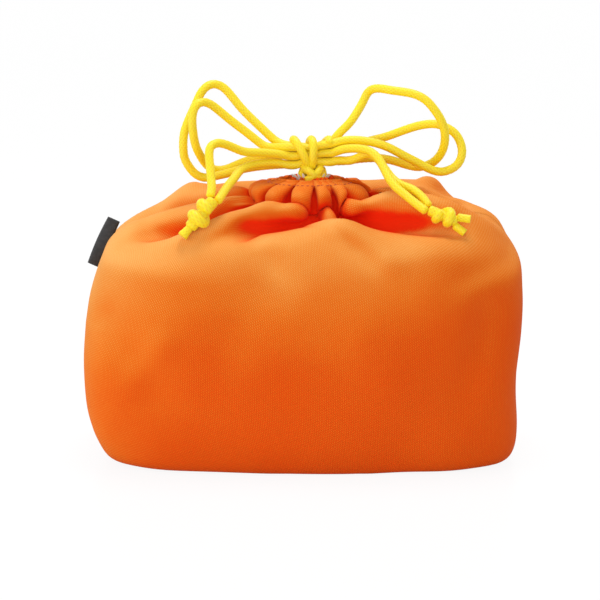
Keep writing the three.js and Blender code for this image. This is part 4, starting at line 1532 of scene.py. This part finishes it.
def stitch_tree(material):
    tree = bpy.data.node_groups.new("stitch_line", "GeometryNodeTree")
    tree.interface.new_socket("Geometry", in_out="INPUT", socket_type="NodeSocketGeometry")
    for size in ("Pitch", "Stitch Length", "Thread Radius"):
        tree.interface.new_socket(size, in_out="INPUT", socket_type="NodeSocketFloat")
    tree.interface.new_socket("Geometry", in_out="OUTPUT", socket_type="NodeSocketGeometry")
    given = tree.nodes.new("NodeGroupInput").outputs
    curve = add_node(tree, "GeometryNodeMeshToCurve", Mesh=given["Geometry"])
    spaced = tree.nodes.new("GeometryNodeResampleCurve")
    spaced.mode = "LENGTH"
    set_inputs(tree, spaced, Curve=curve.outputs["Curve"], Length=given["Pitch"])
    stitch = add_node(tree, "GeometryNodeMeshUVSphere", Segments=6, Rings=5, Radius=0.5)
    thick = maths(tree, "MULTIPLY", given["Thread Radius"], 2.0)
    size = add_node(tree, "ShaderNodeCombineXYZ", X=thick, Y=thick, Z=given["Stitch Length"])
    tangent = tree.nodes.new("GeometryNodeInputTangent")
    aim = add_node(tree, "FunctionNodeAlignRotationToVector", Vector=tangent.outputs["Tangent"])
    aim.axis = "Z"
    placed = add_node(
        tree,
        "GeometryNodeInstanceOnPoints",
        Points=spaced.outputs["Curve"],
        Instance=stitch.outputs["Mesh"],
        Rotation=aim.outputs["Rotation"],
        Scale=size.outputs["Vector"],
    )
    real = add_node(tree, "GeometryNodeRealizeInstances", Geometry=placed.outputs["Instances"])
    smooth = add_node(tree, "GeometryNodeSetShadeSmooth", Geometry=real.outputs["Geometry"])
    finish = add_node(
        tree, "GeometryNodeSetMaterial", Geometry=smooth.outputs["Geometry"], Material=material)
    add_node(tree, "NodeGroupOutput", Geometry=finish.outputs["Geometry"])
    return tree


def stitches(name, line, material, pitch, length, radius):
    """Stitches along a line of points in millimetres, as one plain mesh."""
    mesh = bpy.data.meshes.new(name + "_line")
    mesh.from_pydata((np.asarray(line) * MM).tolist(), [(i, i + 1) for i in range(len(line) - 1)], [])
    carrier = bpy.data.objects.new(name + "_line", mesh)
    SCENE.collection.objects.link(carrier)
    tree = stitch_tree(material)
    modifier = carrier.modifiers.new("stitches", "NODES")
    modifier.node_group = tree
    wanted = {"Pitch": pitch * MM, "Stitch Length": length * MM, "Thread Radius": radius * MM}
    for item in tree.interface.items_tree:
        if item.item_type == "SOCKET" and item.in_out == "INPUT" and item.name in wanted:
            modifier[item.identifier] = wanted[item.name]
    evaluated = carrier.evaluated_get(bpy.context.evaluated_depsgraph_get())
    plain = bpy.data.meshes.new_from_object(evaluated)
    plain.name = name
    bpy.data.objects.remove(carrier)
    bpy.data.meshes.remove(mesh)
    piece = bpy.data.objects.new(name, plain)
    SCENE.collection.objects.link(piece)
    return piece


# Making the cords

# Radii of the pieces of cord that are squeezed or tied, and half the length of the knot's core
WRAP_RADIUS = 1.95
HALF_KNOT_RADIUS = 1.9
BUNDLE_RADIUS = 2.2
RUN_RADIUS = 1.9
TIP_RADIUS = 1.85
LEFT_KNOT_RADII = (2.35, 2.9)
RIGHT_KNOT_RADII = (2.15, 2.5)
BUNDLE_REACH = 5.0

# Frayed tip of the left tails: from where to where along the core, radius, flare and where the flare grows
FRAY = (-1.0, 5.0)
FRAY_RADIUS = 1.9
FRAY_FLARE = 0.5
FRAY_RISE = (1.5, 6.0)

# Cut tips of the right tails: distance from the core, start before its end, parting and length
TIP_ASIDE = 1.9
TIP_OVERLAP = 1.2
TIP_PARTING = 0.25
TIP_LENGTH = 6.2


def frayed_tip(core):
    """The left tails' cut end, opening out a little."""
    along = unit(core[-1] - core[-8])
    path = even_steps(core[-1] + along * np.linspace(*FRAY, 40)[:, None], RING_STEP)
    flare = FRAY_RADIUS + FRAY_FLARE * smoothstep(*FRAY_RISE, np.linspace(0, FRAY[1] - FRAY[0], len(path)))
    return braided_tube(path, flare, (True, False))


def cut_tip(core, along, side):
    """One of the right tails' two cut ends, which stand a little apart."""
    aside = unit(np.cross((0.0, 1.0, 0.0), along)) * side
    start = core[-1] + aside * TIP_ASIDE - along * TIP_OVERLAP
    path = np.array([start + along * s + aside * TIP_PARTING * s for s in np.linspace(0, TIP_LENGTH, 30)])
    return braided_tube(even_steps(path, RING_STEP), TIP_RADIUS, (True, False))


def make_cords():
    tubes = {name: [braided_tube(path, squeezed_radius(path))] for name, path in CORD_PATHS.items()}
    left_paths = end_knot_paths(*LEFT_END_KNOT)
    right_paths = end_knot_paths(*RIGHT_END_KNOT)
    right_along = unit(np.array(RIGHT_END_KNOT[1], float))
    bundle = np.array([(out, 0, GRIPPED_RISE) for out in (-BUNDLE_REACH, 0, BUNDLE_REACH)]) + KNOT
    tubes["left_end_knot"] = [braided_tube(*facts) for facts in zip(left_paths, LEFT_KNOT_RADII)]
    tubes["right_end_knot"] = [braided_tube(*facts) for facts in zip(right_paths, RIGHT_KNOT_RADII)]
    tubes["left_cord_tip"] = [frayed_tip(left_paths[1])]
    tubes["right_cord_tip_high"] = [cut_tip(right_paths[1], right_along, 1)]
    tubes["right_cord_tip_low"] = [cut_tip(right_paths[1], right_along, -1)]
    tubes["bow_wrap"] = [braided_tube(wrap_path(), WRAP_RADIUS)]
    tubes["bow_half_knot"] = [braided_tube(path, HALF_KNOT_RADIUS) for path in half_knot_paths()]
    tubes["bow_knot"] = [braided_tube(smooth_route(bundle), BUNDLE_RADIUS)]
    tubes["left_drawstring"] = [braided_tube(run_path(-1, *LEFT_RUN), RUN_RADIUS)]
    tubes["right_drawstring"] = [braided_tube(run_path(1, *RIGHT_RUN), RUN_RADIUS)]
    return {name: braid_piece(name + "_cord", parts) for name, parts in tubes.items()}


CORDS = make_cords()


# Making the cloth

SIDES = ("front", "back")


def front_and_back(columns):
    """The columns of a closed ring grid that make its front and its back, from seam to seam."""
    return np.concatenate([np.arange(columns // 2, columns), [0]]), np.arange(0, columns // 2 + 1)


def cloth_pair(layer, grid, columns, *facts):
    """The front and the back of one layer of cloth."""
    return [cloth_piece(f"{side}_{layer}_cloth", grid, part, *facts) for side, part in zip(SIDES, columns)]


BAG_GIRTH = 0.556
GRID = bag_grid()
FIELD = height_field(GRID)
GRAIN = BAG_GIRTH / GRID.shape[1]
PANEL_COLUMNS = front_and_back(GRID.shape[1])
CASING_COLUMNS = [columns[CASING_SLIT:-CASING_SLIT] for columns in PANEL_COLUMNS]

PANEL = GRID[:1 - CASING_ROWS]
PANEL_SHADES = [values[:1 - CASING_ROWS] for values in cloth_shades(GRID, FIELD)]
FRONT_PANEL, BACK_PANEL = cloth_pair(
    "panel", PANEL, PANEL_COLUMNS, ORANGE_TWILL, PANEL_CLOTH, GRAIN, PANEL_SHADES)

COLLAR = casing_grid(GRID)
COLLAR_SHADES = cloth_shades(COLLAR, FIELD)
FRONT_CASING, BACK_CASING = cloth_pair(
    "casing", COLLAR, CASING_COLUMNS, ORANGE_TWILL, CASING_CLOTH, GRAIN, COLLAR_SHADES)

LINING = lining_grid()
LINING_GRAIN = LINING_GIRTH / LINING_COLUMNS
LINING_SHADES = cloth_shades(LINING, height_field(LINING))
FRONT_LINING, BACK_LINING = cloth_pair(
    "lining", LINING, front_and_back(LINING_COLUMNS), PALE_LINING, LINING_CLOTH, LINING_GRAIN, LINING_SHADES)

STITCH_ROW = (COLLAR + grid_normals(COLLAR) * STITCH_PROUD)[CASING_ROWS - STITCH_DROP]
FRONT_STITCHES, BACK_STITCHES = [
    stitches(f"{side}_casing_stitches", STITCH_ROW[columns], ORANGE_THREAD, *CASING_STITCH)
    for side, columns in zip(SIDES, CASING_COLUMNS)
]
LABEL = label_piece()
LABEL_SEAM = LABEL_ROOT + LABEL_OUT * LABEL_STITCH_OUT + LABEL_STITCH_ASIDE
LABEL_LINE = [LABEL_SEAM + LABEL_UP * s for s in np.linspace(-LABEL_STITCH_REACH, LABEL_STITCH_REACH, 12)]
LABEL_STITCHES = stitches("label_stitches", LABEL_LINE, BLACK_THREAD, *LABEL_STITCH)


# What moves with what

CLOTH_PIECES = {
    "front_panel": (FRONT_PANEL, "outer_fabric"),
    "back_panel": (BACK_PANEL, "outer_fabric"),
    "front_casing": (FRONT_CASING, "outer_fabric"),
    "back_casing": (BACK_CASING, "outer_fabric"),
    "front_lining": (FRONT_LINING, "lining"),
    "back_lining": (BACK_LINING, "lining"),
}
for node, (piece, finish) in CLOTH_PIECES.items():
    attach(piece, "bag")
    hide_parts(node)
for piece in (FRONT_STITCHES, BACK_STITCHES):
    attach(piece, "bag")
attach(LABEL, "label")
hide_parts("label_tab")
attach(LABEL_STITCHES, "label")

for node in ("bow_knot", "bow_wrap", "bow_half_knot"):
    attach(CORDS[node], "bow")
for node in ("left_end_knot", "left_cord_tip"):
    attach(CORDS[node], "left_tails")
for node in ("right_end_knot", "right_cord_tip_high", "right_cord_tip_low"):
    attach(CORDS[node], "right_tails")

for node in CORD_PATHS:
    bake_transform(CORDS[node])
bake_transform(CORDS["left_drawstring"])
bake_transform(CORDS["right_drawstring"])
for node, piece in CORDS.items():
    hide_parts(node)


# Floor, light and surroundings

FLOOR_GLOW_SHARE = 0.88
FLOOR_GLOW = 1.04
ROOM_LIGHT = 0.60
FLOOR_CORNERS = [(-4, -3, -0.0004), (4, -3, -0.0004), (4, 6, -0.0004), (-4, 6, -0.0004)]

# Lamps: place, aim, size and energy
LAMPS = {
    "top_light": ((0.04, 0.12, 1.10), (0, 0, 0.10), 0.45, 4.8),
    "front_fill": ((-0.1, -1.4, 0.35), (0, 0, 0.06), 0.9, 3.6),
    "left_fill": ((-1.0, -0.45, 0.25), (0, 0, 0.05), 0.6, 3.2),
}


def background_rays(tree):
    """1 for rays that show the background itself, 0 for rays that light the object."""
    rays = tree.nodes.new("ShaderNodeLightPath").outputs
    seen = maths(tree, "MAXIMUM", rays["Is Camera Ray"], rays["Is Glossy Ray"])
    return maths(tree, "MAXIMUM", seen, rays["Is Transmission Ray"])


def make_floor():
    material, tree = new_material("white_floor")
    set_shader(tree, Base_Color=(0.8, 0.8, 0.8, 1), Roughness=0.28, Specular_IOR_Level=0.35)
    glow = add_node(tree, "ShaderNodeEmission", Color=(1, 1, 1, 1), Strength=FLOOR_GLOW)
    mix = add_node(
        tree, "ShaderNodeMixShader", Fac=maths(tree, "MULTIPLY", background_rays(tree), FLOOR_GLOW_SHARE))
    tree.links.new(tree.nodes["Principled BSDF"].outputs["BSDF"], mix.inputs[1])
    tree.links.new(glow.outputs["Emission"], mix.inputs[2])
    tree.links.new(mix.outputs["Shader"], tree.nodes["Material Output"].inputs["Surface"])
    floor = mesh_piece("floor", FLOOR_CORNERS, [(0, 1, 2, 3)], material, smooth=False)


def make_world():
    world = bpy.data.worlds.new("studio")
    world.use_nodes = True
    tree = world.node_tree
    seen = background_rays(tree)
    strength = add_node(tree, "ShaderNodeMapRange", Value=seen, To_Min=ROOM_LIGHT, To_Max=1.0)
    set_inputs(tree, tree.nodes["Background"], Color=(1, 1, 1, 1), Strength=strength.outputs["Result"])
    SCENE.world = world


def make_lamp(name, place, aim, size, energy):
    lamp = bpy.data.lights.new(name, "AREA")
    lamp.shape = "DISK"
    lamp.size = size
    lamp.energy = energy
    lamp_object = bpy.data.objects.new(name, lamp)
    lamp_object.location = place
    lamp_object.rotation_euler = (Vector(aim) - Vector(place)).to_track_quat("-Z", "Y").to_euler()
    SCENE.collection.objects.link(lamp_object)


make_floor()
make_world()
for lamp_name, lamp_facts in LAMPS.items():
    make_lamp(lamp_name, *lamp_facts)
